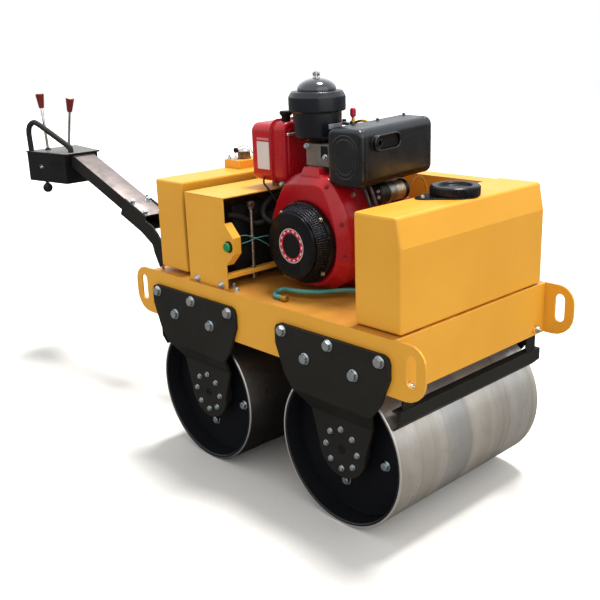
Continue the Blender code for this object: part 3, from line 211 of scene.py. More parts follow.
def smooth_route(points, steps=10):
    """Catmull-Rom curve through the points: a cubic in each span, from its four nearest points."""
    p = np.array(points, float)
    p = np.concatenate([2 * p[:1] - p[1:2], p, 2 * p[-1:] - p[-2:-1]])
    a, b, c, d = p[:-3], p[1:-2], p[2:-1], p[3:]
    t = (np.arange(steps) / steps)[None, :, None]
    a, b, c, d = (v[:, None] for v in (a, b, c, d))
    curve = 0.5 * (2 * b + (c - a) * t + (2 * a - 5 * b + 4 * c - d) * t ** 2
                   + (3 * b - a - 3 * c + d) * t ** 3)
    return np.concatenate([curve.reshape(-1, 3), p[-2:-1]])


def swept(route, radius, around=10):
    """Round section carried along a route: each ring stands square to the route.

    The section's first direction is square to the route and to the route's own plane.
    """
    route = np.array(route, float)
    tangent = np.gradient(route, axis=0)
    tangent /= np.linalg.norm(tangent, axis=1, keepdims=True)
    plane = np.linalg.svd(route - route.mean(0))[2][2]
    side = np.cross(tangent, plane)
    side /= np.linalg.norm(side, axis=1, keepdims=True)
    up = np.cross(side, tangent)
    angle = (np.arange(around) * 2 * math.pi / around)[None, :, None]
    radius = np.broadcast_to(radius, len(route))[:, None, None]
    ring = np.cos(angle) * side[:, None] + np.sin(angle) * up[:, None]
    return skin(route[:, None] + radius * ring)


def tube(points, radius, steps, around):
    """Round tube along the smooth curve through the points."""
    return swept(smooth_route(points, steps), radius, around)


def plate(outline, thickness):
    """Flat plate: an outline in X and Y at Z 0 and again at the thickness, with a fine edge."""
    outline = np.array(outline, float)
    fine = min(0.0006, thickness * 0.3)
    centre = outline.mean(0)
    inner = centre + (outline - centre) * (1 - fine / np.abs(outline - centre).max())
    rings = [(inner, 0), (outline, fine), (outline, thickness - fine), (inner, thickness)]
    return skin([np.column_stack([ring, np.full(len(ring), z)]) for ring, z in rings])


def hexagon(height, across, around=24, chamfer=0.12):
    """Hexagonal head: radius (across / 2) / cos of the angle from the nearest flat, less at its top."""
    angle = np.arange(around) * 2 * math.pi / around
    flat = across / 2 / np.cos((angle + math.pi / 6) % (math.pi / 3) - math.pi / 6)
    rings = [(flat, 0.0), (flat, height * (1 - chamfer)), (np.minimum(flat, across / 2) * 0.96, height),
             (0 * flat + across / 5, height * 1.01)]
    return skin([np.stack([r * np.cos(angle), r * np.sin(angle), 0 * angle + z], -1) for r, z in rings])


def bolt(across, height, washer=0.0, washer_height=0.0, stud=0.0, stud_height=0.0):
    """Hexagonal head on a washer, with the end of a stud where it is a nut."""
    parts = []
    if washer:
        parts.append(turned(softened(((0, 0), (washer, 0), (washer, washer_height),
                                      (0, washer_height)), 0.0004, 2), 24))
    head = hexagon(height, across)
    parts.append((head[0] + (0, 0, washer_height), head[1]))
    if stud:
        top = washer_height + height + stud_height
        parts.append(turned(((0, 0), (stud, 0), (stud, top - stud * 0.3),
                             (stud * 0.75, top), (0, top)), 12))
    return joined(*parts)


# ---------------------------------------------------------------- materials
def linear(hex_colour):
    """An sRGB hex colour as linear red, green, blue and alpha."""
    srgb = np.array([int(hex_colour[i:i + 2], 16) for i in (0, 2, 4)]) / 255
    rgb = np.where(srgb <= 0.04045, srgb / 12.92, ((srgb + 0.055) / 1.055) ** 2.4)
    return (*rgb.tolist(), 1.0)


def add(tree, kind, inputs=None, **settings):
    """Add a shader node with its settings, its inputs set to values or linked to sockets."""
    made = tree.nodes.new("ShaderNode" + kind)
    for key, value in settings.items():
        setattr(made, key, value)
    for key, value in (inputs or {}).items():
        if isinstance(value, bpy.types.NodeSocket):
            tree.links.new(value, made.inputs[key])
        else:
            made.inputs[key].default_value = value
    return made


def blank(name, roughness, metallic=0.0, **constants):
    """A material with its shader's constants set, its own coordinates, and add for its tree."""
    made = bpy.data.materials.new(name)
    made.use_nodes = True
    node = partial(add, made.node_tree)
    shader = made.node_tree.nodes["Principled BSDF"]
    shader.inputs["Roughness"].default_value = roughness
    shader.inputs["Metallic"].default_value = metallic
    for key, value in constants.items():
        shader.inputs[key.replace("_", " ")].default_value = value
    return made, node("TexCoord").outputs["Object"], node


def wired(made, **sockets):
    """Link sockets to the inputs of a material's shader."""
    tree = made.node_tree
    for key, socket in sockets.items():
        tree.links.new(socket, tree.nodes["Principled BSDF"].inputs[key.replace("_", " ")])
    return made


def patches(node, place, size, start, end, detail=3, rough=0.55, least=0.0, most=1.0):
    """Mask of patches about a size across: a noise stretched between two of its values."""
    cloud = node("TexNoise", {"Vector": place, "Scale": 1 / size, "Detail": detail, "Roughness": rough})
    return node("MapRange", {0: cloud.outputs[0], 1: start, 2: end, 3: least, 4: most}).outputs[0]


def grained(node, place, size, detail, strength, depth, normal):
    """A normal ruffled by a noise whose grains are about a size across."""
    grains = node("TexNoise", {"Vector": place, "Scale": 1 / size, "Detail": detail, "Roughness": 0.55})
    return node("Bump", {"Strength": strength, "Distance": depth, "Normal": normal,
                         "Height": grains.outputs[0]}).outputs[0]


def layered(node, colour, layers):
    """A hex colour with others laid over it, each where its own mask says."""
    tone = linear(colour)
    for mask, over in layers:
        tone = node("Mix", {0: mask, 6: tone, 7: linear(over)}, data_type="RGBA").outputs[2]
    return tone


def product(node, *factors):
    """Masks and numbers multiplied together, one after the other."""
    result = factors[0]
    for factor in factors[1:]:
        result = node("Math", {0: result, 1: factor}, operation="MULTIPLY").outputs[0]
    return result


def edge_amount(node, width):
    """0 on a flat face and 1 at a sharp edge: how far the rounded normal leans from the true one."""
    soft = node("Bevel", {"Radius": width}, samples=4).outputs[0]
    true = node("NewGeometry").outputs["True Normal"]
    lean = node("VectorMath", {0: soft, 1: true}, operation="DOT_PRODUCT").outputs["Value"]
    return node("MapRange", {0: lean, 1: 0.995, 2: 0.80}).outputs[0], soft


def painted(name, colour, dark, edge_worn_and_lit, roughness, peel=0.10, coat=0.0, width=0.0022, dust_and_shade_colour="8a7f70",
            dust_and_shade_amount=0.25, edge_share=0.5, specular=0.5, up_face_colour=None):
    """Sprayed enamel on steel: patchy film, orange peel, edges worn thin and lit by a painted highlight,
    dust and painted shade in its corners.

    The waves of the orange peel are about 6 mm long.  An up-face colour is laid, in patches, over the faces
    that look up.
    """
    made, place, node = blank(name, roughness, Coat_Weight=coat, Coat_Roughness=0.12,
                              Specular_IOR_Level=specular)
    worn, soft = edge_amount(node, width)
    # pale edges: the film worn thin there, and a painted highlight along them
    worn_and_lit_edges = product(node, worn, patches(node, place, 0.012, 0.38, 0.62, 4), edge_share)
    # dust and painted shade in the corners that little open air reaches
    open_air = node("AmbientOcclusion", {"Distance": 0.03}, samples=6).outputs["AO"]
    crevice_shade = node("MapRange", {0: open_air, 1: 0.75, 2: 0.25, 4: dust_and_shade_amount}).outputs[0]
    dust_and_shade = product(node, crevice_shade, patches(node, place, 0.03, 0.3, 0.65, 4))
    layers = [(patches(node, place, 0.22, 0.35, 0.7), dark), (worn_and_lit_edges, edge_worn_and_lit), (dust_and_shade, dust_and_shade_colour)]
    if up_face_colour:
        up = node("SeparateXYZ", {0: node("TexCoord").outputs["Normal"]}).outputs[2]
        above = node("MapRange", {0: up, 1: 0.8, 2: 0.95}).outputs[0]
        layers.append((product(node, above, patches(node, place, 0.15, 0.25, 0.6, least=0.6)), up_face_colour))
    return wired(made, Base_Color=layered(node, colour, layers),
                 Roughness=patches(node, place, 0.06, 0.3, 0.75, 5,
                                   least=roughness - 0.06, most=roughness + 0.12),
                 Normal=grained(node, place, 0.006, 2, peel, 0.0006, soft))


def plain_metal(name, colour, dark, roughness, grain=0.002, patch=0.02, bump=0.15, crevice_shade=None):
    """Bare or plated metal: two tones in patches, roughness that follows them, and a fine grain.

    The grain is drawn 2 or 3 mm wide, coarser than it really is, so that it can be seen.
    A crevice colour is painted shade in the tight corners, such as those under a bolt's head.
    """
    made, place, node = blank(name, roughness, 1.0)
    blotch = patches(node, place, patch, 0.32, 0.7, 5)
    layers = [(blotch, dark)]
    if crevice_shade:
        # painted shade in the tight corners
        open_air = node("AmbientOcclusion", {"Distance": 0.006}, samples=6).outputs["AO"]
        layers.append((node("MapRange", {0: open_air, 1: 0.65, 2: 0.25, 4: 0.9}).outputs[0], crevice_shade))
    soft = node("Bevel", {"Radius": 0.0008}, samples=4).outputs[0]
    return wired(made, Base_Color=layered(node, colour, layers),
                 Roughness=node("MapRange", {0: blotch, 3: roughness, 4: roughness + 0.18}).outputs[0],
                 Normal=grained(node, place, grain, 3, bump, 0.0004, soft))


def moulded(name, colour, worn, roughness, grain=0.0025, bump=0.12, specular=0.3):
    """Moulded plastic or rubber: a fine spark-eroded grain and edges rubbed a little paler.

    The grain is drawn 2.5 mm wide or more, coarser than it really is, so that it can be seen.
    """
    made, place, node = blank(name, roughness, Specular_IOR_Level=specular)
    rub, soft = edge_amount(node, 0.002)
    patch = patches(node, place, 0.04, 0.35, 0.7, 4)
    layers = [(product(node, mask, 0.35), worn) for mask in (patch, rub)]
    return wired(made, Base_Color=layered(node, colour, layers),
                 Roughness=node("MapRange", {0: patch, 3: roughness - 0.05, 4: roughness + 0.12}).outputs[0],
                 Normal=grained(node, place, grain, 2, bump, 0.0003, soft))


def rolled_drum_steel(name, axle, shaded=0.0):
    """Turned and rolled mild steel, bare outside and painted inside.

    Bands run round the drum: their tone is a noise of the place along the axle alone, with a
    slight waver.  The finest bands are drawn 4 mm wide, coarser than the real marks of the lathe,
    so that they can be seen.  The wall's inner face, nearer the axle, is black enamel.
    Where little open air is in reach, near the other drum, painted shade darkens the steel by the share.
    """
    made, place, node = blank(name, 0.42, Anisotropic=0.35)
    centred = node("VectorMath", {0: place, 1: tuple(-axle)}, operation="ADD").outputs[0]
    across = node("SeparateXYZ", {0: centred}).outputs[1]

    def cloud(vector, size, detail, rough):
        return node("TexNoise", {"Vector": vector, "Scale": 1 / size, "Detail": detail,
                                 "Roughness": rough}).outputs[0]

    wavering = node("Math", {0: cloud(place, 0.09, 2, 0.55), 1: 0.02, 2: across},
                    operation="MULTIPLY_ADD").outputs[0]
    bands = node("CombineXYZ", {1: wavering}).outputs[0]
    narrow, fine = cloud(bands, 0.030, 2, 0.5), cloud(bands, 0.004, 3, 0.6)
    stain = patches(node, place, 0.060, 0.52, 0.74, 5, 0.6, most=0.45)
    pits = patches(node, place, 0.009, 0.69, 0.76, 4, 0.7, most=0.8)
    out = node("Math", {0: across}, operation="ABSOLUTE").outputs[0]
    open_air = node("AmbientOcclusion", {"Distance": 0.45}, samples=8).outputs["AO"]
    flat = node("VectorMath", {0: centred, 1: (1, 0, 1)}, operation="MULTIPLY").outputs[0]
    reach = node("VectorMath", {0: flat}, operation="LENGTH").outputs["Value"]
    inside = node("Math", {0: reach, 1: DRUM_RADIUS - 0.0055}, operation="LESS_THAN").outputs[0]
    tone = layered(node, "dcd6cc", (
        (patches(node, bands, 0.090, 0.38, 0.62, 2, 0.5), "bcb4aa"),
        (node("MapRange", {0: narrow, 1: 0.50, 2: 0.72, 4: 0.45}).outputs[0], "a49c92"),
        (node("MapRange", {0: fine, 1: 0.45, 2: 0.8, 4: 0.25}).outputs[0], "8c857c"),
        (patches(node, bands, 0.14, 0.48, 0.66, 1, most=0.5), "b8bec4"),
        (stain, "a89c8c"),
        (pits, "4a4238"),
        # the rims are rubbed bright
        (node("MapRange", {0: out, 1: DRUM_HALF - 0.0022, 2: DRUM_HALF - 0.0014}).outputs[0], "e8e6e2"),
        # painted shade where little open air is in reach
        (node("MapRange", {0: open_air, 1: 0.80, 2: 0.45, 4: shaded}).outputs[0], "1c1b1c"),
        (inside, "15161a")))
    rough = node("MapRange", {0: narrow, 1: 0.3, 2: 0.75, 3: 0.26, 4: 0.42}).outputs[0]
    stained = node("MapRange", {0: stain, 2: 0.5, 4: 0.12}).outputs[0]
    bump = node("Bump", {"Strength": 0.25, "Distance": 0.0004, "Height": fine}).outputs[0]
    pitted = node("Bump", {"Strength": 0.5, "Distance": 0.0005, "Normal": bump, "Height": pits},
                  invert=True).outputs[0]
    return wired(made, Base_Color=tone, Metallic=node("MapRange", {0: inside, 3: 0.62, 4: 0.0}).outputs[0],
                 Roughness=node("Math", {0: rough, 1: stained}).outputs[0], Normal=pitted)


MATERIALS = {}


def make_materials(colours):
    """Every finish on the roller."""
    m = MATERIALS
    # two-pack enamel sprayed on bent sheet: smooth, warm yellow, edges pale where the film is thin and with
    # a painted highlight
    clean = {"peel": 0.04, "width": 0.0018, "dust_and_shade_colour": "9a5a18", "dust_and_shade_amount": 0.35, "edge_share": 0.9,
             "specular": 0.35}
    m["yellow"] = painted("two_pack_yellow_enamel", colours.body, colours.body_shade, "ffe09a", 0.36,
                          **clean)
    # the same enamel on the deck, darker and browner
    m["deck_yellow"] = painted("darker_yellow_enamel", "c48a36", "b07a30", "ffe09a", 0.42, peel=0.04,
                               dust_and_shade_colour="7a4a1c", dust_and_shade_amount=0.5, edge_share=0.4, specular=0.35)
    # the frame's side members: clean outside, darker and browner on their top flange
    m["frame_yellow"] = painted("yellow_enamel_darker_above", colours.body, colours.body_shade, "ffe09a",
                                0.36, up_face_colour="bd8236", **clean)
    # chassis black: satin, dusty, slightly brown in the light
    m["black"] = painted("satin_black_chassis_enamel", "242320", "2b2926", "5a5752", 0.50,
                         dust_and_shade_colour="2a2724", dust_and_shade_amount=0.4, edge_share=0.5, specular=0.12)
    # the console's black is cleaner and colder
    m["console_black"] = painted("gloss_black_console_enamel", "07080b", "0d0e11", "4c4c50", 0.36,
                                 dust_and_shade_colour="121110", dust_and_shade_amount=0.3, edge_share=0.5, specular=0.3)
    # the chassis black darkened as painted shade for the axles inside the drums, rubbed less: a little blue
    m["shaded_black"] = painted("black_enamel_in_shade", "15161a", "191a1e", "2a2b30", 0.45,
                              dust_and_shade_colour="141312", dust_and_shade_amount=0.3, edge_share=0.3, specular=0.08)
    # stoved heat-proof black on the silencer: deeper, with a soft gloss
    m["silencer"] = painted("stoved_heatproof_black", "080a0e", "0c0e13", "464a50", 0.24,
                            dust_and_shade_colour="12110f", dust_and_shade_amount=0.3, specular=0.62)
    # semi-gloss black on the pressed air cleaner: the sky lies on it as a soft band
    m["gloss_black"] = painted("satin_black_on_pressed_steel", "0b0d14", "11131b", "444854", 0.24,
                               peel=0.05, specular=0.5)
    # the dome on top of it is polished: it mirrors the sky
    m["dome_black"] = painted("gloss_black_on_spun_steel", "0c0e14", "12141b", "505660", 0.12,
                              coat=0.8, peel=0.04, specular=0.6)
    # engine red on pressings: gloss enamel, smooth, edges paler where worn and with a painted highlight
    m["red"] = painted("gloss_red_engine_enamel", colours.engine, "a4141f", "e8646a", 0.26, coat=0.15,
                       dust_and_shade_colour="4a0c0c", dust_and_shade_amount=0.25, edge_share=0.4, specular=0.28)
    # the same red on castings: rougher, darker, dust and painted shade in its corners
    m["cast_red"] = painted("red_enamel_on_casting", "9c1420", "7c101a", "d04a50", 0.40, peel=0.35,
                            dust_and_shade_colour="300c0c", dust_and_shade_amount=0.5, specular=0.3)
    # bare rolled steel of the drums: pale bands, stains and pits, and painted shade where the rear one is
    # shut in
    m["drum_front"] = rolled_drum_steel("rolled_mild_steel_front", AXLES["front"])
    m["drum_rear"] = rolled_drum_steel("rolled_mild_steel_rear", AXLES["rear"], shaded=0.95)
    # bright zinc plating, passivated: pale blue-grey with a faint mottle, and painted shade in its tight
    # corners
    m["zinc"] = plain_metal("bright_zinc_plate", "f2f4f6", "b9cdd2", 0.27, patch=0.006, crevice_shade="22262a")
    # machined steel: grey, with a dull shine
    m["steel"] = plain_metal("machined_steel", "a7a49e", "77736c", 0.32, patch=0.01)
    # gravity-cast aluminium: a sandy grey skin
    m["cast"] = plain_metal("cast_aluminium_skin", "96918a", "7c776f", 0.50, grain=0.003, patch=0.05,
                            bump=0.3)
    # galvanised sheet of the arm: bright, spangled, matt in patches
    m["galvanised"] = plain_metal("galvanised_sheet", "908582", "7a7270", 0.48, patch=0.05, bump=0.2)
    # dark die-cast drive housing, oily
    m["dark_cast"] = plain_metal("oily_die_casting", "4a4742", "2b2825", 0.42, grain=0.003, bump=0.4)
    # cage of the recoil starter: dark pressed mesh whose ribs catch the light
    m["slot_metal"] = plain_metal("dark_pressed_mesh", "4c4d52", "222226", 0.36, patch=0.004)
    # strip under the fuel tank: plated, browned by oil
    m["bracket"] = plain_metal("oily_plated_strip", "8a7048", "4a3a24", 0.40, patch=0.012)
    # polished chrome plating: it mirrors the room
    m["chrome"] = plain_metal("chrome_plate", "d8d8d8", "a9a8a6", 0.10, patch=0.03, bump=0.03)
    # turned brass: warm yellow with browner patches
    m["brass"] = plain_metal("turned_brass", "d0a850", "96702c", 0.30, patch=0.008)
    # zinc plating passivated yellow: straw-coloured, a little mottled
    m["yellow_zinc"] = plain_metal("yellow_passivated_zinc", "dccdb0", "a08c6c", 0.34, patch=0.006)
    # moulded polypropylene of the battery, pipes and knobs: black with a soft sheen
    m["plastic"] = moulded("black_polypropylene", "111113", "303032", 0.40, specular=0.2)
    # glossy ABS of the caps and covers: black, with sharp highlights
    m["gloss_plastic"] = moulded("black_glossy_abs", "0b0b0d", "242428", 0.26, bump=0.05, specular=0.2)
    # printed strip: flat pink
    m["pink_print"] = moulded("pink_print", "d87a86", "c86a78", 0.40, bump=0.02)
    # EPDM rubber: dull, paler where it is rubbed
    m["rubber"] = moulded("black_epdm_rubber", "1b1a19", "35322f", 0.62)
    # phenolic grips: dark red, polished by hands
    m["grip"] = moulded("dark_red_phenolic", colours.grip, "8c3a30", 0.22, bump=0.04)
    # discs on the ends of the grips: pale pink
    m["grip_top"] = moulded("pale_pink_disc", "e8d2cc", "c9a8a0", 0.40, bump=0.04)
    # soft PVC hose: teal, with a wet sheen
    m["hose"] = moulded("teal_pvc_hose", colours.hose, "7fb4ac", 0.34, bump=0.05)
    # push button: green, glossy
    m["green"] = moulded("green_push_button", "147a3c", "3fae6a", 0.25, bump=0.03)
    # blank label film: pale, faintly violet
    m["label"] = moulded("blank_pale_label", "d6d4da", "bcb8c0", 0.45, bump=0.02)
    # blank badge of satin steel
    m["badge"] = plain_metal("blank_satin_badge", "c6c8cc", "8e9196", 0.35, patch=0.004)
    # lid of the console: a black plate whose sky reflection is painted as a grey film, olive in the light,
    # its edges paler with a painted highlight
    m["lid_sky_reflection"] = painted("black_lid_painted_sky_reflection", "6e6d66", "5c5b55", "c8bcb4", 0.34, edge_share=1.0,
                            specular=0.5)
    # black sheets behind the pump cover, painted shade without any shine
    m["cover_shade_black"] = moulded("black_sheet_painted_shade", "0c0c0e", "141416", 0.85, grain=0.004, bump=0.4)
    # zinc that has browned in the weather
    m["screw"] = plain_metal("browned_zinc_screw", "a89c8a", "5c5348", 0.34, patch=0.004)
    # brass browned in the grooves of its knurl
    m["knurl"] = plain_metal("browned_knurled_brass", "a88a64", "5a3f26", 0.34, patch=0.006)
    # PVC on the thin wires: teal, and orange on the starter's
    m["teal_wire"] = moulded("teal_pvc_wire", "2c6a68", "5a9a94", 0.36, bump=0.03)
    m["orange_wire"] = moulded("orange_pvc_wire", "b87a28", "d8a040", 0.35, bump=0.03)
    # openings and bores: painted shade, nearly black
    m["dark"] = moulded("recess_painted_shade", "08080a", "101012", 0.75)
    # printed ring and the decompression knob: a colder red than the engine's
    m["signal_red"] = moulded("red_ring_print", "c01c3c", "d8486a", 0.35, bump=0.02)
    # printed dashes: off-white
    m["white_print"] = moulded("white_print", "e6dede", "cfc4c6", 0.40, bump=0.02)


# CAD node to finish
NODE_FINISH = {
    "frame_yellow": ("side_member_left", "side_member_right"),
    "yellow": ("cross_plate_front", "cross_plate_rear", "cross_beam", "water_tank", "oil_tank",
               "pump_cover_top", "pump_cover_right", "pump_cover_left", "belt_guard"),
    "deck_yellow": ("deck_plate", "engine_base"),
    "black": ("hanger_front_left", "hanger_front_right", "hanger_rear_left", "hanger_rear_right",
              "scraper_front", "scraper_rear", "handle_fork", "handle_arm", "handle_bracket"),
    "console_black": ("console",),
    "shaded_black": ("drum_front_axle", "drum_rear_axle"),
    "cast": ("cylinder_head",),
    "cast_red": ("crankcase", "cylinder"),
    "steel": ("output_shaft",),
    "plastic": ("battery", "sprinkler_pipe_front", "sprinkler_pipe_rear"),
    "brass": ("deck_fitting",),
}


def dress_nodes():
    """Give every CAD node that stays in view its finish."""
    for finish, names in NODE_FINISH.items():
        for name in names:
            slots = NODES[name].data.materials
            slots.clear()
            slots.append(MATERIALS[finish])


# ------------------------------------------------------------------- pieces
def make_piece(name, shape, finish, slot=None, body="chassis", replaces=(), smooth=40):
    """Mesh of a shape, its doubles merged and its faces outward, riding on a CAD body.

    The slot argument is not used.
    """
    points, faces = shape
    mesh = bpy.data.meshes.new(name)
    mesh.from_pydata(points.tolist(), [], [row for f in faces for row in f.tolist()])
    shape_edit = bmesh.new()
    shape_edit.from_mesh(mesh)
    bmesh.ops.remove_doubles(shape_edit, verts=shape_edit.verts, dist=1e-6)
    bmesh.ops.recalc_face_normals(shape_edit, faces=shape_edit.faces)
    shape_edit.to_mesh(mesh)
    shape_edit.free()
    mesh.shade_smooth()
    mesh.set_sharp_from_angle(angle=math.radians(smooth))
    mesh.materials.append(MATERIALS[finish])
    piece = bpy.data.objects.new(name, mesh)
    bpy.context.scene.collection.objects.link(piece)
    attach(piece, body)
    if replaces:
        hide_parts(*replaces)


def make_bolts(name, head, spots, axis=(0, 0, 1), finish="zinc", **settings):
    """Copies of one bolt, nut or screw at several places, as one piece."""
    make_piece(name, repeated(head, spots, axis), finish, smooth=30, **settings)


def from_middle(places):
    """Places measured from the ground midway between the drums."""
    return np.array(places) + (MIDDLE_X, 0, 0)


def at(x, y, z):
    """One place measured from the ground midway between the drums."""
    return from_middle((x, y, z))


def on_circle(place, radius, out, degrees):
    """Places on a circle about a line across the roller, some way out along it from a place."""
    turn = np.radians(degrees)
    return place + np.column_stack([radius * np.cos(turn), out + 0 * turn, radius * np.sin(turn)])


def make_drums(sizes):
    """Rolled shells: a wall turned about the axle, its rims broken by a small chamfer."""
    chamfer, bolt_circle = 0.0015, 0.118
    disc_face = DRUM_HALF - 0.055 + FIT
    outer, inner, half = DRUM_RADIUS, DRUM_RADIUS - sizes.drum_wall, DRUM_HALF
    profile = ((inner, -half + chamfer), (inner + chamfer, -half), (outer - chamfer, -half),
               (outer, -half + chamfer), (outer, half - chamfer), (outer - chamfer, half),
               (inner + chamfer, half), (inner, half - chamfer))
    for end, place in AXLES.items():
        shape = placed(turned(profile, 192, closed=True), place, (0, 1, 0))
        make_piece("drum_shell_" + end, shape, "drum_" + end, body=end + "_drum",
                   replaces=["drum_" + end + "_shell"], smooth=30)
        heads = [repeated(bolt(0.02, 0.008, 0.0145, 0.0022),
                          on_circle(place, bolt_circle, side * disc_face, np.arange(4) * 90 - 12),
                          (0, side, 0)) for side in (-1, 1)]
        make_piece("disc_bolts_" + end, joined(*heads), "zinc", body=end + "_drum", smooth=30)


def make_hanger_bolts(sizes):
    """Hexagonal bolts of the four hanger plates, with washers, and the small ones of the hubs."""
    big = bolt(sizes.bolt_across, 0.0088, sizes.bolt_across * 0.64, 0.0023)
    small = bolt(0.0125, 0.0052, 0.0085, 0.0012)
    ring = lathe(((0.006, 0), (0.0125, 0), (0.0125, 0.0012), (0.006, 0.0012), (0.006, 0)), 0.0003, 2, 24)
    bore = joined(ring, turned(((0, 0), (0.0065, 0), (0.0065, 0.0005), (0, 0.0005)), 24))
    face = high("side_member_left")[1] + 0.01
    hub_face, hub_circle = face - 0.0395, 0.056
    spots = ((-0.1704, 0.2985), (0.0, 0.2985), (0.1704, 0.2985), (-0.0852, 0.2418), (0.0852, 0.2418))
    for side, word in ((-1, "right"), (1, "left")):
        for end, place in AXLES.items():
            outer = [place + (x, side * face, z) for x, z in spots]
            inner = on_circle(place, hub_circle, side * hub_face, np.arange(8) * 45)
            heads = joined(repeated(big, outer, (0, side, 0)), repeated(small, inner, (0, side, 0)))
            make_piece(f"hanger_bolts_{end}_{word}", heads, "zinc", smooth=30)
            # a dark disc and ring in the bore: painted shade
            make_piece(f"hub_bore_{end}_{word}",
                       placed(bore, place + (0, side * hub_face, 0), (0, side, 0)), "dark")


def make_shroud():
    """Fan shroud: a skin from its rim to its front face and in to the recoil starter.

    Rim, face and hole are outlines round the crankshaft, each a radius that depends on the angle;
    a ring of the skin is a straight mix of two of them at its own place across the engine.
    """
    rim = ((0.146, 0.007), (0.139, 0.045), (0.129, 0.08), (0.112, 0.117), (0.095, 0.142), (0.077, 0.166),
           (0.063, 0.178), (0.03, 0.184), (-0.041, 0.183), (-0.065, 0.176), (-0.094, 0.159),
           (-0.108, 0.143), (-0.13, 0.11), (-0.146, 0.06), (-0.151, 0.005), (-0.145, -0.045),
           (-0.125, -0.09), (-0.085, -0.121), (-0.035, -0.13), (0.03, -0.13), (0.085, -0.121),
           (0.122, -0.095), (0.143, -0.05))
    face = ((0.1165, 0.0), (0.115, 0.03), (0.107, 0.062), (0.095, 0.095), (0.081, 0.125), (0.067, 0.15),
            (0.053, 0.158), (0.03, 0.1595), (-0.04, 0.155), (-0.08, 0.15), (-0.096, 0.13),
            (-0.116, 0.097), (-0.134, 0.06), (-0.139, 0.02), (-0.137, -0.02), (-0.126, -0.06),
            (-0.103, -0.092), (-0.07, -0.113), (-0.025, -0.1215), (0.025, -0.1215), (0.066, -0.108),
            (0.096, -0.078), (0.112, -0.04))
    angle = np.arange(180) * 2 * math.pi / 180

    def outline(points):
        share = np.arange(len(points) * 8) / 8
        x, z = (np.interp(share, np.arange(len(points) + 1), (*v, v[0])) for v in np.array(points).T)
        radius = np.interp(angle, np.arctan2(z, x), np.hypot(x, z), period=2 * math.pi)
        return (radius + np.roll(radius, 1) + np.roll(radius, -1)) / 3

    rim, face, hole = outline(rim), outline(face), np.full(len(angle), 0.1135)
    # share of the way from face to rim, or from face to hole where it is negative, and place across
    turns = np.array(((1, -0.085), (1, -0.137), (0, -0.1637), (-1, -0.1637), (-1, -0.16)))
    profile = softened(turns * (0.03, 1), 0.0035, 4) / (0.03, 1)
    share, y = profile[:, :1], profile[:, 1:]
    radius = face + (rim - face) * share.clip(0) - (hole - face) * share.clip(-1, 0)
    rings = np.stack([CRANK[0] + radius * np.cos(angle), y + 0 * radius,
                      CRANK[2] + radius * np.sin(angle)], -1)
    duct = softened(((0, 0), (0, 0.03), (0.009, 0.0515), (0.012, 0.0515)), 0.002, 3)
    duct = moved(pressed_box(0.037, 0.018, 0.006, duct, 4), (CRANK[0], -0.1288, CRANK[2] + 0.1485))
    make_piece("fan_shroud", joined(skin(rings), duct), "red", replaces=["cooling_shroud"], smooth=50)
    heads = [(CRANK[0] + 0.072, -0.1525, CRANK[2] + 0.158), (CRANK[0] + 0.121, -0.1495, CRANK[2] + 0.062),
             (CRANK[0] + 0.128, -0.148, CRANK[2] - 0.02)]
    make_bolts("shroud_screws", bolt(0.009, 0.004, 0.0062, 0.0008), heads, (0.3, -1, 0.2),
               finish="cast_red")


def make_recoil_housing():
    """Recoil starter's housing: a turned cover with steps, a slotted cone between two of them."""
    profile = softened(((0, 0), (0.112, 0), (0.112, 0.0165), (0.106, 0.018), (0.103, 0.018),
                        (0.103, 0.02), (0.0905, 0.047), (0.0905, 0.0575), (0.05, 0.0572), (0.048, 0.056),
                        (0.034, 0.056), (0.032, 0.0572), (0, 0.0574)), 0.0018, 4)
    make_piece("recoil_housing", placed(turned(profile, 120), RECOIL, RIGHT), "gloss_plastic",
               replaces=["recoil_starter"], smooth=50)


def make_recoil_slots():
    """Ribs between the cooling slots, laid down the cone, and hoops across them."""
    foot, top = np.array((0.1045, 0.0195)), np.array((0.0925, 0.0475))
    length = np.linalg.norm(top - foot)
    way = (top - foot) / length
    rib = pressed_box(length / 2, 0.001, 0.0004, ((0, 0), (0, 0.0012), (0.0004, 0.0016)), 1)
    ribs, rib_count = [], 96
    rib_middle, ahead = (foot + top) / 2, np.array((0, -1.0, 0))
    for a in np.arange(rib_count) * 2 * math.pi / rib_count:
        out, across = np.array((math.cos(a), 0, math.sin(a))), np.array((-math.sin(a), 0, math.cos(a)))
        rows = np.stack([way[0] * out + way[1] * ahead, across, way[1] * out - way[0] * ahead])
        ribs.append((rib[0] @ rows + RECOIL + rib_middle[0] * out + rib_middle[1] * ahead, rib[1]))
    for t in (0.0, 0.25, 0.5, 0.75, 1.0):
        r, h = foot + (top - foot) * t
        ribs.append(placed(turned(((r, h), (r + 0.0018, h), (r + 0.0014, h + 0.0012), (r, h + 0.0012)),
                                  96, closed=True), RECOIL, RIGHT))
    make_piece("recoil_slots", joined(*ribs), "slot_metal")


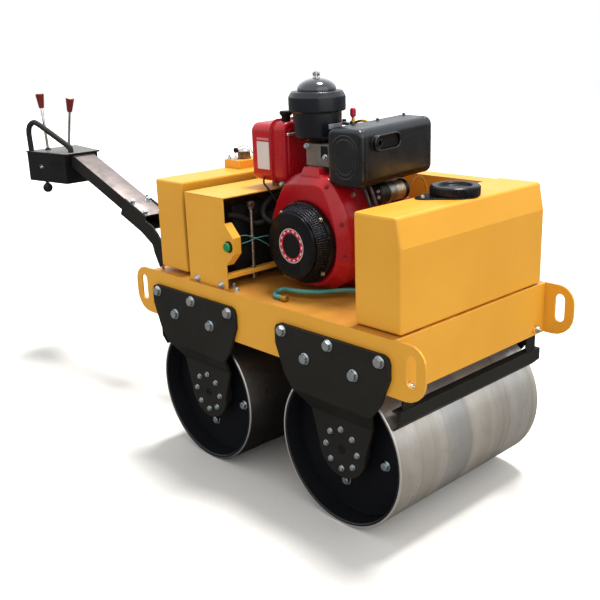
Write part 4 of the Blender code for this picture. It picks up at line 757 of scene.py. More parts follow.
def make_recoil_marks():
    """Printed ring in the housing's middle, with a pale edge and a row of plain dashes."""
    def band(inner, outer, foot, top):
        profile = ((inner, foot), (outer, foot), (outer, top), (inner, top))
        return placed(turned(profile, 64, closed=True), RECOIL, RIGHT)

    make_piece("recoil_ring", band(0.0345, 0.0475, 0.0556, 0.0566), "signal_red")
    marks, mark_count, mark_circle = [band(0.0455, 0.0475, 0.0566, 0.057)], 14, 0.0405
    dash = pressed_box(0.0042, 0.0022, 0.001, ((0, 0), (0, 0.0004)), 2)
    for a in np.arange(mark_count) * 2 * math.pi / mark_count:
        axis = np.array((math.cos(a), 0, math.sin(a)))
        rows = np.stack([np.cross(RIGHT, axis), axis, RIGHT])
        marks.append((dash[0] @ rows + RECOIL + axis * mark_circle + (0, -0.0566, 0), dash[1]))
    make_piece("recoil_marks", joined(*marks), "white_print")


def make_recoil_bolts():
    """Bolts and small screws round the housing's flange."""
    flange = -0.0172
    make_bolts("recoil_flange_bolts", bolt(0.0105, 0.0045, 0.0072, 0.001),
               on_circle(RECOIL, 0.1065, flange, (44, -42, 136, 222)), RIGHT, finish="yellow_zinc")
    make_bolts("recoil_screws", bolt(0.0055, 0.0022, 0.0042, 0.0005),
               on_circle(RECOIL, 0.1085, flange, (72, 100, 16, -14, 164, 194)), RIGHT, finish="black")


def make_air_cleaner():
    """Oil-bath air cleaner: turned bowl and cover, a glossy dome on top, wing nut and plain badge."""
    place = foot_of("air_cleaner")
    body = softened(((0.0, 0.1325), (0.068, 0.1325), (0.0705, 0.131), (0.078, 0.1185), (0.078, 0.0825),
                     (0.0765, 0.08), (0.0685, 0.079), (0.067, 0.077), (0.0655, 0.015), (0.06, 0.009),
                     (0.044, 0.003), (0.04, 0.0), (0.0, 0.0)), 0.002, 4)
    make_piece("air_cleaner_bowl", placed(turned(body, 96), place), "gloss_black",
               replaces=["air_cleaner"], smooth=45)
    arc = np.linspace(math.pi / 2, 0, 12)
    dome = np.concatenate([np.stack([0.0525 * np.cos(arc), 0.136 + 0.03 * np.sin(arc)], -1),
                           ((0.0525, 0.1328), (0, 0.1328))])
    make_piece("air_cleaner_dome", placed(turned(dome, 96), place), "dome_black", smooth=50)
    nut = lathe(((0, 0.164), (0.01, 0.164), (0.01, 0.168), (0.0055, 0.17), (0.0055, 0.1834), (0, 0.1838)),
                0.001, 3, 24)
    wing = moved(pressed_box(0.013, 0.0018, 0.0016, edge_profile(0.01, 0.0015, 3), 3), (0, 0, 0.1715))
    make_piece("air_cleaner_wing_nut", placed(joined(nut, wing), place), "chrome")
    turn = np.radians(np.linspace(-18, 42, 25))
    section = np.array(((0.0655, 0.035), (0.0672, 0.035), (0.0672, 0.0485), (0.0655, 0.0485)))
    rings = np.stack([section[:, 0] * np.cos(turn)[:, None], section[:, 0] * np.sin(turn)[:, None],
                      section[:, 1] + 0 * turn[:, None]], -1)
    make_piece("air_cleaner_badge", placed(skin(rings), place), "badge")


def make_fuel_tank():
    """Fuel tank: two pressed halves met at a seam flange, with a plain label and a strip."""
    seam_x = CRANK[0] - 0.1645
    z0, z1 = HEAD_TOP - 0.118, HEAD_TOP + 0.0535
    half_y, half_z = 0.12, (z1 - z0) / 2
    centre = np.array((seam_x, -0.01, (z0 + z1) / 2))
    front, rear = CRANK[0] - 0.1155 - seam_x, seam_x - low("fuel_tank")[0] + 0.013
    parts = []
    for depth, way, inset, bend in ((front, 1, 0.0, 0.011), (rear, -1, 0.0035, 0.017)):
        shell = pressed_box(half_y - inset, half_z - inset, 0.026, edge_profile(depth, bend, 6, 0.0008), 8)
        parts.append(moved(shell, centre - (0, 0, inset), (2, 0, 1), (way, 1, 1)))
    rim = pressed_box(half_y + 0.006, half_z + 0.006, 0.03, edge_profile(0.004, 0.0015, 3), 8)
    parts.append(moved(rim, centre - (0.002, 0, 0), (2, 0, 1)))
    panel = softened(((0, -0.002), (0, 0.0), (0.003, 0.0022), (0.006, 0.0022)), 0.001, 3)
    parts.append(moved(pressed_box(half_y - 0.016, half_z - 0.017, 0.02, panel, 8),
                       centre + (front, 0, 0), (2, 0, 1)))
    make_piece("fuel_tank_body", joined(*parts), "red", replaces=["fuel_tank"], smooth=50)
    label_y = centre[1] - half_y + 0.0035
    for name, finish, half_height, z in (("fuel_tank_label", "label", 0.039, 0.9225),
                                         ("fuel_tank_strip", "pink_print", 0.0035, 0.969)):
        flat = pressed_box(0.0262, half_height, 0.0015, ((0, 0), (0, 0.0006)), 2)
        make_piece(name, moved(flat, at(-0.1645, label_y, z), (0, 2, 1), (1, -1, 1)), finish)


def make_fuel_tap():
    """Under and beside the fuel tank: the tap's rod, the bracket with its bolt, and the fuel line."""
    rod = swept(from_middle([(-0.066, y, 0.986) for y in (-0.118, -0.1, -0.085, -0.066)]), 0.004, 14)
    head = placed(bolt(0.007, 0.003), at(-0.066, -0.118, 0.986), RIGHT)
    make_piece("fuel_tap_rod", joined(rod, head), "zinc")
    foot = pressed_box(0.036, 0.012, 0.002, edge_profile(0.0165, 0.0008, 2), 2)
    make_piece("fuel_tank_bracket", moved(foot, at(-0.106, -0.106, 0.837)), "bracket")
    make_bolts("fuel_tank_bolts", bolt(0.01, 0.005, 0.0075, 0.001), [at(-0.1, -0.1182, 0.845)], RIGHT)
    line = from_middle(((-0.172, -0.118, 0.862), (-0.166, -0.128, 0.852), (-0.148, -0.142, 0.845),
                        (-0.127, -0.147, 0.834), (-0.124, -0.127, 0.804), (-0.121, -0.11, 0.776),
                        (-0.118, -0.104, 0.74)))
    make_piece("fuel_line", tube(line, 0.0029, 8, 12), "rubber")


def make_fuel_cap():
    """Fuel cap: a wide ribbed top on a narrow stem, with its wire clip."""
    place = foot_of("fuel_cap")
    points, faces = lathe(((0, 0), (0.0125, 0), (0.0125, 0.013), (0.018, 0.0185), (0.018, 0.0255),
                           (0.016, 0.0278), (0, 0.028)), 0.001, 3, 72)
    angle = np.arctan2(points[:, 1], points[:, 0])
    reach = np.hypot(points[:, 0], points[:, 1])
    points[:, :2] *= (1 - 0.05 * (reach > 0.0165) * (np.cos(12 * angle) > 0.3))[:, None]
    make_piece("fuel_screw_cap", placed((points, faces), place), "gloss_plastic", replaces=["fuel_cap"],
               smooth=35)
    clip = place + ((0.012, 0.004, 0.016), (0.02, 0.008, 0.022), (0.031, 0.012, 0.018),
                    (0.034, 0.014, 0.006), (0.03, 0.012, -0.004))
    make_piece("fuel_cap_clip", tube(clip, 0.0028, 8, 10), "gloss_plastic")


def make_silencer():
    """Silencer: a pressed box with round corners, rolled seams, a ribbed end, an oval outlet, nuts."""
    lo, hi = low("muffler"), high("muffler")
    length = hi[1] - lo[1]
    x0, x1 = lo[0] - 0.005, CRANK[0] + 0.19

    def leaned(shape):
        """The silencer hangs a little high at its far end: Z rises along Y."""
        return shape[0] + np.outer(shape[0][:, 1] - lo[1] - length / 2, (0, 0, 0.04)), shape[1]

    centre = np.array(((x0 + x1) / 2, lo[1], (lo[2] + hi[2]) / 2))
    half_x, half_z = (x1 - x0) / 2, (hi[2] - lo[2]) / 2
    bend = np.array([(0.012, 0.0), (0.0055, 0.0008), (0.002, 0.003), (0.0004, 0.007), (0.0, 0.011)])
    seam = np.array([(0.0, 0.0175), (0.0014, 0.0182), (0.0014, 0.0196), (0.0002, 0.0205)])
    start = np.concatenate([bend, seam])
    profile = np.concatenate([start, (start * (1, -1) + (0, length))[::-1]])
    shapes = [moved(pressed_box(half_x, half_z, 0.023, profile, 8), centre, (0, 2, 1))]
    for inset, tall in ((0.016, 0.0006), (0.027, 0.0005)):
        rib = np.array([(0, 0), (0.002, tall * 0.8), (0.0035, tall), (0.005, tall * 0.8), (0.007, 0),
                        (0.007, -0.001), (0, -0.001)])
        rings = pressed_box(half_x - inset, half_z - inset, half_x - inset - 0.002, rib, 8)[0]
        ring = skin(rings.reshape(len(rib), -1, 3), wrap=True)
        shapes.append(moved(ring, centre, (0, 2, 1), (1, -1, 1)))
    mouth = np.array((x1, -0.053, HEAD_TOP + 0.016))
    lip = softened(((0, -0.001), (0, 0.01), (0.0012, 0.012), (0.0036, 0.012), (0.0048, 0.0105),
                    (0.0048, 0.002), (0.008, 0.002)), 0.001, 3)
    shapes.append(moved(pressed_box(0.05, 0.0215, 0.0195, lip, 10), mouth, (2, 0, 1)))
    make_piece("silencer_body", leaned(joined(*shapes)), "silencer", replaces=["muffler"], smooth=40)
    # dark sheet inside the outlet: painted shade
    hole = pressed_box(0.0345, 0.0165, 0.014, ((0, 0.0022), (0, 0.0028)), 8)
    hole = moved(hole, mouth + (0, 0.01, 0), (2, 0, 1))
    pipe = lathe(((0.0075, 0.002), (0.0095, 0.002), (0.0095, 0.0125), (0.0075, 0.0125), (0.0075, 0.002)),
                 0.0006, 2, 32)
    pipe = placed(pipe, mouth + (0, -0.034, 0.001), (1, 0, 0))
    make_piece("silencer_tailpipe", leaned(pipe), "silencer")
    make_piece("silencer_outlet_inside", leaned(hole), "dark", slot="heatproof_black")
    spots = [at(0.14, y, hi[2] + FIT) for y in (0.02, 0.128, -0.075)]
    make_piece("silencer_nuts", leaned(repeated(bolt(0.0065, 0.0036, 0.0055, 0.001), spots)), "silencer",
               smooth=30)


def make_starter_motor():
    """Starter: dark drive housing and straps, plated case, end cover with its terminal and wire."""
    place = np.array((CRANK[0] + 0.1525, low("starter_motor")[1] + 0.034, CRANK[2] + 0.131))
    drive = lathe(((0, 0), (0.02, 0), (0.0285, 0.006), (0.0285, 0.03), (0.0265, 0.034), (0, 0.034)),
                  0.0015, 3, 64)
    lug = pressed_box(0.03, 0.0055, 0.004, edge_profile(0.047, 0.002, 3), 3)
    lug = moved(lug, (CRANK[0] + 0.13, 0.046, CRANK[2] + 0.0925))
    make_piece("starter_drive", joined(placed(drive, place, (0, 1, 0)), lug), "dark_cast",
               replaces=["starter_motor"], smooth=35)
    case = lathe(((0, 0.033), (0.0268, 0.033), (0.0268, 0.0545), (0.0274, 0.055), (0.0274, 0.094),
                  (0, 0.094)), 0.0008, 2, 64)
    make_piece("starter_case", placed(case, place, (0, 1, 0)), "yellow_zinc", smooth=35)
    band = lathe(((0.0266, 0.034), (0.0276, 0.034), (0.0276, 0.06), (0.0266, 0.06), (0.0266, 0.034)),
                 0.0004, 2, 64)
    make_piece("starter_band", placed(band, place, (0, 1, 0)), "steel")
    cap = lathe(((0, 0.0935), (0.0288, 0.0935), (0.0288, 0.1055), (0.026, 0.11), (0, 0.1105)), 0.0015, 3,
                64)
    post = placed(bolt(0.014, 0.01, 0.01, 0.002, 0.004, 0.01), (0.014, 0.008, 0.1105))
    make_piece("starter_end_cover", placed(joined(cap, post), place, (0, 1, 0)), "gloss_plastic",
               smooth=35)
    strap = from_middle(((0.182, -0.092, 0.882), (0.188, -0.092, 0.868), (0.201, -0.092, 0.843),
                         (0.217, -0.092, 0.806)))
    straps = [tube(strap + shift, 0.005, 6, 8) for shift in ((0, 0, 0), (0.013, 0.01, 0))]
    make_piece("starter_straps", joined(*straps), "dark_cast", slot="black_paint")
    wire = place + ((0.014, 0.128, 0.012), (0.016, 0.14, 0.026), (0.02, 0.158, 0.03),
                    (0.024, 0.172, 0.016), (0.026, 0.18, -0.008), (0.02, 0.182, -0.04))
    make_piece("starter_wire", tube(wire, 0.0026, 8, 10), "orange_wire")
    heads = [place + (x, -0.0005, z) for x, z in ((0.01, 0.009), (-0.006, -0.012), (0.013, -0.007))]
    make_bolts("starter_bolts", bolt(0.0065, 0.003, 0.005, 0.001), heads, RIGHT)
    make_bolts("cowl_bolt", bolt(0.011, 0.006, 0.0085, 0.0012), [at(0.146, -0.0852, 0.836)], RIGHT,
               finish="yellow_zinc")


def make_head_fittings():
    """Top of the engine: rocker cover, red decompression knob on its brass stem, pipe and bolts."""
    lo, hi = low("rocker_cover"), high("rocker_cover")
    top = HEAD_TOP + 0.031
    half = (hi[:2] - lo[:2]) / 2
    box = pressed_box(half[0], half[1], 0.008, edge_profile(0.0308, 0.004, 4, 0.0008), 5)
    place = (*middle("rocker_cover")[:2], HEAD_TOP + 0.0003)
    make_piece("rocker_box", moved(box, place), "cast", replaces=["rocker_cover"], smooth=50)
    knob = np.array((CRANK[0] + 0.008, 0.02, top))
    stem = lathe(((0, 0), (0.011, 0), (0.011, 0.006), (0.007, 0.008), (0.007, 0.014), (0.009, 0.015),
                  (0.009, 0.019), (0.005, 0.021), (0.004, 0.031), (0, 0.031)), 0.0008, 2, 32)
    make_piece("decompressor_stem", placed(stem, knob), "brass")
    ball = lathe(((0, 0.029), (0.005, 0.029), (0.0085, 0.034), (0.0085, 0.05), (0.006, 0.0545),
                  (0, 0.0548)), 0.002, 4, 32)
    make_piece("decompressor_knob", placed(ball, knob), "signal_red", slot="red_paint")
    pipe = knob + ((0.008, 0.0, 0.015), (0.02, 0.0, 0.019), (0.034, 0.004, 0.021),
                   (0.048, 0.01, 0.017), (0.056, 0.014, 0.001), (0.06, 0.016, -0.03))
    make_piece("injection_pipe", tube(pipe, 0.0036, 8, 12), "brass")
    bracket = pressed_box(0.024, 0.01, 0.003, edge_profile(0.009, 0.001, 2), 3)
    make_piece("head_bracket", moved(bracket, knob + (-0.03, 0.0, 0.007)), "zinc", slot="bare_steel")
    make_bolts("head_bracket_nut", bolt(0.011, 0.0055, 0.008, 0.001), [knob + (-0.034, 0, 0.016)],
               finish="black")
    face = low("cylinder_head")[1]
    spots = [at(-0.0005, face, HEAD_TOP - 0.0075), at(0.07, face, HEAD_TOP - 0.033)]
    make_bolts("head_bolts", bolt(0.011, 0.006, 0.0082, 0.001), spots, RIGHT)
    # dark patch of the port: painted shade
    port = pressed_box(0.013, 0.016, 0.003, ((0, 0), (0, 0.0006)), 3)
    port = moved(port, at(0.066, face, HEAD_TOP - 0.02), (0, 2, 1), (1, -1, 1))
    make_piece("head_port", port, "dark", slot="cast_aluminium")


def make_tank_cap():
    """Screw cap: knurled skirt round a dished top, on a flange, with its retaining strap."""
    lo, hi = low("water_tank_cap"), high("water_tank_cap")
    place = foot_of("water_tank_cap")
    rise = hi[2] - lo[2] + 0.003
    profile = softened(((0, rise - 0.008), (0.04, rise - 0.008), (0.044, rise - 0.0015), (0.049, rise),
                        (0.058, rise), (0.0628, rise - 0.003), (0.0628, 0.0045), (0.058, 0.004),
                        (0.057, FIT), (0, FIT)), 0.0015, 3)
    points, faces = turned(profile, 144)
    angle = np.arctan2(points[:, 1], points[:, 0])
    reach = np.hypot(points[:, 0], points[:, 1])
    skirt = (reach > 0.062) & (points[:, 2] < rise - 0.004)
    points[:, :2] *= (1 + 0.02 * skirt * (np.cos(36 * angle) > 0))[:, None]
    make_piece("tank_screw_cap", placed((points, faces), place), "gloss_plastic",
               replaces=["water_tank_cap"], smooth=35)
    # the strap's two ends are circles, and its outline runs straight from one to the other
    angle = np.arange(96) * 2 * math.pi / 96
    lean = math.radians(-112)
    wide = np.cos(angle - lean) > 0.45
    centre = np.where(wide[:, None], 0.092 * np.array((math.cos(lean), math.sin(lean))), 0)
    radius = np.where(wide, 0.02, 0.0635)
    ring = np.column_stack([np.cos(angle), np.sin(angle)]) * radius[:, None] + centre
    make_piece("tank_cap_strap", moved(plate(ring, 0.0035), place), "gloss_plastic", smooth=35)
    spot = place + (0.092 * math.cos(lean), 0.092 * math.sin(lean), 0.0035)
    make_piece("tank_cap_strap_bolt", placed(bolt(0.0075, 0.004, 0.006, 0.001), spot), "zinc", smooth=30)


def make_hose(sizes):
    """Clear teal hose on the deck, a tube along the smooth curve through its CAD solid's points.

    A point holds its share of the way from the deck's fitting to the water tank, its place across
    the roller and its height above the hose's lowest point.
    """
    start = MIDDLE_X + 0.04
    reach = low("water_tank")[0] - start
    route = np.array(((0.07, -0.277, 0.002), (0.035, -0.277, 0.002), (-0.035, -0.274, 0.001),
                      (-0.099, -0.259, 0.0), (-0.12, -0.243, 0.002), (-0.092, -0.232, 0.006),
                      (-0.035, -0.23, 0.009), (0.053, -0.2325, 0.011), (0.176, -0.22, 0.0115),
                      (0.275, -0.203, 0.0115), (0.345, -0.178, 0.0115), (0.408, -0.152, 0.0115),
                      (0.486, -0.13, 0.0115), (0.641, -0.115, 0.0115), (0.782, -0.108, 0.0187),
                      (0.915, -0.106, 0.0257), (1.0, -0.106, 0.0257)))
    route[:, 0] = start + route[:, 0] * reach
    route[:, 2] += DECK + 0.0066
    make_piece("sprinkler_hose", tube(route, sizes.hose, 8, 16), "hose",
               replaces=["water_hose"])


def make_oil_breather():
    """Breather of the oil tank: a knurled brass ring, a dome, its wire bail, a knob and two screws."""
    place = foot_of("breather_cap")
    across = np.array((0.68, 0.73, 0))
    points, faces = lathe(((0, 0.0), (0.0225, 0.0), (0.0225, 0.0035), (0.0195, 0.0045), (0.0195, 0.02),
                           (0.018, 0.0215), (0, 0.022)), 0.0008, 3, 160)
    angle = np.arctan2(points[:, 1], points[:, 0])
    side = (points[:, 2] > 0.005) & (points[:, 2] < 0.0205)
    points[:, :2] *= (1 + 0.03 * side * np.cos(40 * angle))[:, None]
    make_piece("breather_ring", placed((points, faces), place), "knurl", replaces=["breather_cap"],
               smooth=40)
    dome = lathe(((0, 0.0318), (0.008, 0.0312), (0.0165, 0.0285), (0.021, 0.0245), (0.021, 0.0222),
                  (0, 0.0222)), 0.002, 3, 48)
    make_piece("breather_dome", placed(dome, place), "chrome", smooth=40)
    turn = np.linspace(0, math.pi, 24)[:, None]
    arc = place + (0, 0, 0.014) + across * 0.0262 * np.cos(turn) + np.array((0, 0, 0.0262)) * np.sin(turn)
    make_piece("breather_bail", swept(arc, 0.0016, 10), "chrome")
    knob = lathe(((0, 0), (0.0065, 0), (0.0075, 0.004), (0.0075, 0.012), (0.005, 0.015), (0, 0.015)),
                 0.002, 3, 24)
    make_piece("breather_knob", placed(knob, place - across * 0.0255 + (0, 0, 0.019)), "plastic")
    spots = [np.array((place[0] + x, y, place[2])) for x, y in ((-0.028, -0.018), (0.006, -0.02))]
    make_bolts("filler_screws", bolt(0.0115, 0.0065, 0.0085, 0.0012, 0.0035, 0.006), spots)


def make_push_button():
    """Pump cover: its foot bolts, and the push button in its ring."""
    face = low("pump_cover_right")[1]
    feet = [at(x, face, 0.5805) for x in (-0.27, -0.158)]
    make_bolts("cover_bolts", bolt(0.0125, 0.0065, 0.011, 0.0016, 0.0035, 0.004), feet, RIGHT)
    ring = lathe(((0, 0), (0.0165, 0), (0.0165, 0.0025), (0.0145, 0.0045), (0, 0.0045)), 0.001, 3, 48)
    button = lathe(((0, 0.004), (0.0128, 0.004), (0.0128, 0.009), (0.0112, 0.0115), (0, 0.0122)),
                   0.0012, 3, 48)
    spot = at(-0.117, face, 0.6965)
    make_piece("button_ring", placed(ring, spot, RIGHT), "plastic", smooth=35)
    make_piece("push_button", placed(button, spot, RIGHT), "green", smooth=35)


def make_tie_bar():
    """Flat bar behind the cover, and the threaded screw that stands through it with its nuts."""
    lo, hi = low("tie_bar"), high("tie_bar")
    bar_x, height = (lo[0] + hi[0]) / 2, hi[2] - lo[2]
    bar_foot, bar_top = DECK + 0.029, DECK + 0.0425
    bar = pressed_box((hi[0] - lo[0]) / 2, hi[1], 0.001, edge_profile(bar_top - bar_foot, 0.0008, 2), 2)
    make_piece("tie_bar_flat", moved(bar, (bar_x, 0, bar_foot)), "yellow", replaces=["tie_bar"])
    # a thread drawn coarser than its real pitch, so that it can be seen
    crest, root, half_pitch = 0.0056, 0.0047, 0.002
    rise = np.arange(0, height, half_pitch)
    thread = np.column_stack([np.where(np.arange(len(rise)) % 2, crest, root), rise])
    rod = turned(np.concatenate([((0, 0),), thread, ((0, rise[-1]),)]), 16)
    rod_place = np.array((bar_x, low("pump_cover_right")[1] + 0.1065, lo[2]))
    levels = (bar_top - lo[2], bar_foot - lo[2] - 0.0076, height - 0.012, 0.118)
    nuts = repeated(hexagon(0.0075, 0.0145), [rod_place + (0, 0, z) for z in levels])
    fork = pressed_box(0.0065, 0.011, 0.002, edge_profile(0.016, 0.001, 2), 2)
    fork = moved(fork, rod_place + (0, 0, height - 0.006))
    make_piece("hanging_screw", joined(placed(rod, rod_place), fork, nuts), "screw", smooth=30)


def make_pump():
    """What shows behind the cover: black sheets of painted shade, the pump, two hoses and two wires."""
    # a black wall and ceiling inside the cover: painted shade
    shade_wall = pressed_box(0.0015, 0.296, 0.001, edge_profile(0.244, 0.0006, 2), 2)
    ceiling = pressed_box(0.078, 0.292, 0.002, edge_profile(0.003, 0.0006, 2), 2)
    sheets = joined(moved(shade_wall, at(-0.3045, 0, DECK + 0.006)), moved(ceiling, at(-0.222, 0, 0.8235)))
    make_piece("cover_painted_shade", sheets, "cover_shade_black")
    pump = lathe(((0, 0), (0.024, 0), (0.03, 0.01), (0.03, 0.052), (0.022, 0.056), (0.022, 0.078),
                  (0, 0.078)), 0.003, 3, 40)
    make_piece("pump_body", placed(pump, at(-0.158, -0.125, 0.742), (1, 0, 0)), "dark_cast", smooth=35)
    hoses = (((-0.158, -0.275, 0.775), (-0.157, -0.24, 0.768), (-0.157, -0.205, 0.752),
              (-0.15, -0.18, 0.738), (-0.136, -0.16, 0.742), (-0.12, -0.13, 0.752)),
             ((-0.155, -0.09, 0.812), (-0.152, -0.12, 0.8), (-0.146, -0.15, 0.78), (-0.132, -0.165, 0.76),
              (-0.112, -0.16, 0.745), (-0.094, -0.14, 0.735)))
    wires = (((-0.113, -0.275, 0.7218), (-0.103, -0.255, 0.7211), (-0.093, -0.235, 0.7132),
              (-0.078, -0.205, 0.6926), (-0.07, -0.19, 0.675)),
             ((-0.106, -0.28, 0.694), (-0.1025, -0.275, 0.7008), (-0.096, -0.255, 0.7051),
              (-0.0845, -0.235, 0.713), (-0.081, -0.205, 0.7137), (-0.075, -0.18, 0.712)))
    for name, finish, routes, radius, around in (("pump_hoses", "rubber", hoses, 0.0078, 12),
                                                 ("button_wires", "teal_wire", wires, 0.0013, 8)):
        tubes = [tube(from_middle(route), radius, 6, around) for route in routes]
        make_piece(name, joined(*tubes), finish)


def make_deck_screws():
    """Two screws in the deck, and the bolt at the oil tank's foot."""
    spots = [at(-0.15, -0.272, DECK + FIT), at(-0.106, -0.297, DECK + FIT)]
    make_bolts("deck_screws", bolt(0.011, 0.006, 0.009, 0.001, 0.0035, 0.003), spots)
    spot = at(-0.467, low("oil_tank")[1] + 0.002, DECK + 0.006)
    make_bolts("oil_tank_foot_bolt", bolt(0.008, 0.005, 0.0058, 0.001), [spot], RIGHT, finish="screw")


def make_cross_plate_bolts():
    """Bolts through the two cross plates that hold the scrapers' brackets."""
    nut = bolt(0.013, 0.006, 0.01, 0.0015, 0.0035, 0.005)
    heads = []
    for way, face in ((1, high("cross_plate_front")[0]), (-1, low("cross_plate_rear")[0])):
        spots = [(face + way * FIT, y, 0.445) for y in (-0.272, 0.272)]
        heads.append(repeated(nut, spots, (way, 0, 0)))
    make_piece("cross_plate_bolts", joined(*heads), "zinc", smooth=30)


def make_arm_sheet():
    """Bright sheet on the handle's arm, leaned as the arm is, and its four bolts."""
    tilt, length = math.radians(20.8), 0.498
    along = np.array((-math.cos(tilt), 0, math.sin(tilt)))
    normal = np.array((math.sin(tilt), 0, math.cos(tilt)))
    foot = np.array((high("handle_arm")[0], 0, 0.635))
    points, faces = pressed_box(length / 2, 0.0445, 0.004, edge_profile(0.0012, 0.0004, 2), 3)
    points = points @ np.stack([along, (0, 1, 0), normal]) + foot + along * (length / 2) + normal * 0.0003
    make_piece("arm_top_sheet", (points, faces), "galvanised", body="handle")
    spots = [foot + along * d + (0, y, 0) + normal * 0.0014
             for d in (0.014, 0.098) for y in (-0.034, 0.034)]
    make_bolts("arm_bolts", bolt(0.0165, 0.0115, 0.0115, 0.0018, 0.005, 0.0035), spots, normal,
               body="handle")


def make_console_fittings():
    """Console's lid with its painted sky reflection, cut to the outline of the CAD solid's top, its bright
    lip as a painted highlight, and the crank.
    """
    node = NODES["console"]
    corners = np.array([node.matrix_world @ v.co for v in node.data.vertices])
    corners = np.unique(corners[corners[:, 2] > LID - FIT][:, :2].round(5), axis=0)
    centre = corners.mean(0)
    order = np.argsort(np.arctan2(*(corners - centre).T[::-1]))
    outline = centre + (corners[order] - centre) * 0.985
    make_piece("console_lid", moved(plate(outline, 0.0012), (0, 0, LID + 0.0001)), "lid_sky_reflection",
               body="handle")
    # the lip: a bright rod along the lid's front edge, a painted highlight
    front = outline[np.argsort(outline[:, 0])[-2:]]
    ends = [np.array((*end, LID + 0.0006)) for end in front]
    make_piece("console_lip_painted_highlight", swept(np.linspace(*ends, 4) + (0.002, 0, 0), 0.0022, 8), "galvanised",
               body="handle")
    crank = low("console") * (1, 1, 0) + ((0.132, 0.004, 0.778), (0.132, -0.01, 0.778),
                                          (0.14, -0.014, 0.777), (0.162, -0.014, 0.774))
    make_piece("console_crank", tube(crank, 0.0038, 5, 10), "plastic", body="handle")
    make_bolts("console_crank_nut", bolt(0.009, 0.005, 0.006, 0.001),
               [crank[-1] + (-0.002, -0.003, 0.001)], (0.3, -1, 0.2), finish="chrome", body="handle")


def make_grab_loop(sizes):
    """Rubber-covered loop that stands on the console, one tube along a smooth route."""
    loop = np.array(((0.018, -0.101, 0.0006), (0.018, -0.101, 0.021), (0.015, -0.101, 0.052),
                     (0.016, -0.101, 0.081), (0.025, -0.098, 0.103), (0.044, -0.092, 0.115),
                     (0.067, -0.085, 0.111), (0.127, -0.066, 0.077), (0.182, -0.048, 0.044),
                     (0.214, -0.036, 0.024), (0.22, -0.034, 0.012), (0.22, -0.034, 0.0006)))
    loop += (CONSOLE_REAR, 0, LID)
    make_piece("grab_loop_tube", tube(loop, sizes.loop, 8, 20), "rubber", body="handle",
               replaces=["grab_loop"])


def make_levers():
    """Two levers: a rod that leans from its boot, a tapered grip and a pale disc on its end."""
    boot = lathe(((0, 0.0005), (0.012, 0.0005), (0.012, 0.004), (0.009, 0.007), (0.009, 0.01),
                  (0.0056, 0.0105), (0, 0.0105)), 0.001, 3, 32)
    grip = lathe(((0, 0.0), (0.0098, 0.0), (0.0115, 0.012), (0.015, 0.04), (0.0168, 0.053),
                  (0.016, 0.056), (0, 0.056)), 0.002, 3, 40)
    disc = lathe(((0, 0.0555), (0.0145, 0.0555), (0.0135, 0.058), (0, 0.0584)), 0.001, 3, 32)
    for name, ahead, y, lean, height in (("travel_lever", 0.053, -0.045, -0.013, 0.164),
                                         ("throttle_lever", 0.083, 0.033, 0.04, 0.1465)):
        base = np.array((CONSOLE_REAR + ahead, y, LID))
        neck = base + (lean, 0, height + 0.005)
        way = neck - base
        reach = np.linalg.norm(way) + 0.002
        rod = lathe(((0, 0.001), (0.0052, 0.001), (0.0052, reach), (0, reach)), 0.0005, 2, 20)
        make_piece(name + "_rod", placed(rod, base, way), "chrome", body="handle", replaces=[name])
        make_piece(name + "_boot", placed(boot, base), "rubber", body="handle")
        make_piece(name + "_grip", placed(grip, neck, way), "grip", body="handle")
        make_piece(name + "_disc", placed(disc, neck, way), "grip_top", body="handle")


def make_hand_knob():
    """Turned knob under the handle's arm."""
    knob = lathe(((0, 0), (0.008, 0.0008), (0.015, 0.006), (0.0188, 0.015), (0.0188, 0.024),
                  (0.014, 0.032), (0.0075, 0.037), (0.006, 0.0428), (0, 0.0428)), 0.003, 4, 40)
    make_piece("hand_knob_ball", placed(knob, foot_of("hand_knob")), "plastic", body="handle",
               replaces=["hand_knob"])


# ------------------------------------------------- floor, light and camera
def make_floor():
    """Matt pale floor, whose colour for the camera is paler than the one that lights the roller."""
    size, below = 12.0, 0.0005
    grid = np.linspace(-size, size, 5)
    x, y = np.meshgrid(grid, grid, indexing="ij")
    mesh = bpy.data.meshes.new("floor")
    mesh.from_pydata(np.stack([x.ravel(), y.ravel(), 0 * x.ravel() - below], -1).tolist(), [],
                     grid_faces(5, 5, wrap_columns=False).tolist())
    floor = bpy.data.objects.new("floor", mesh)
    bpy.context.scene.collection.objects.link(floor)
    made, place, node = blank("pale_studio_floor", 0.9)
    pale = layered(node, "f4f3f1", [(patches(node, place, 0.01, 0.3, 0.7), "efeeec")])
    ray = node("LightPath")
    other = layered(node, "a09e9a", [(ray.outputs["Is Glossy Ray"], "54514f")])
    seen = node("Mix", {0: ray.outputs["Is Camera Ray"], 6: other, 7: pale}, data_type="RGBA").outputs[2]
    mesh.materials.append(wired(made, Base_Color=seen))


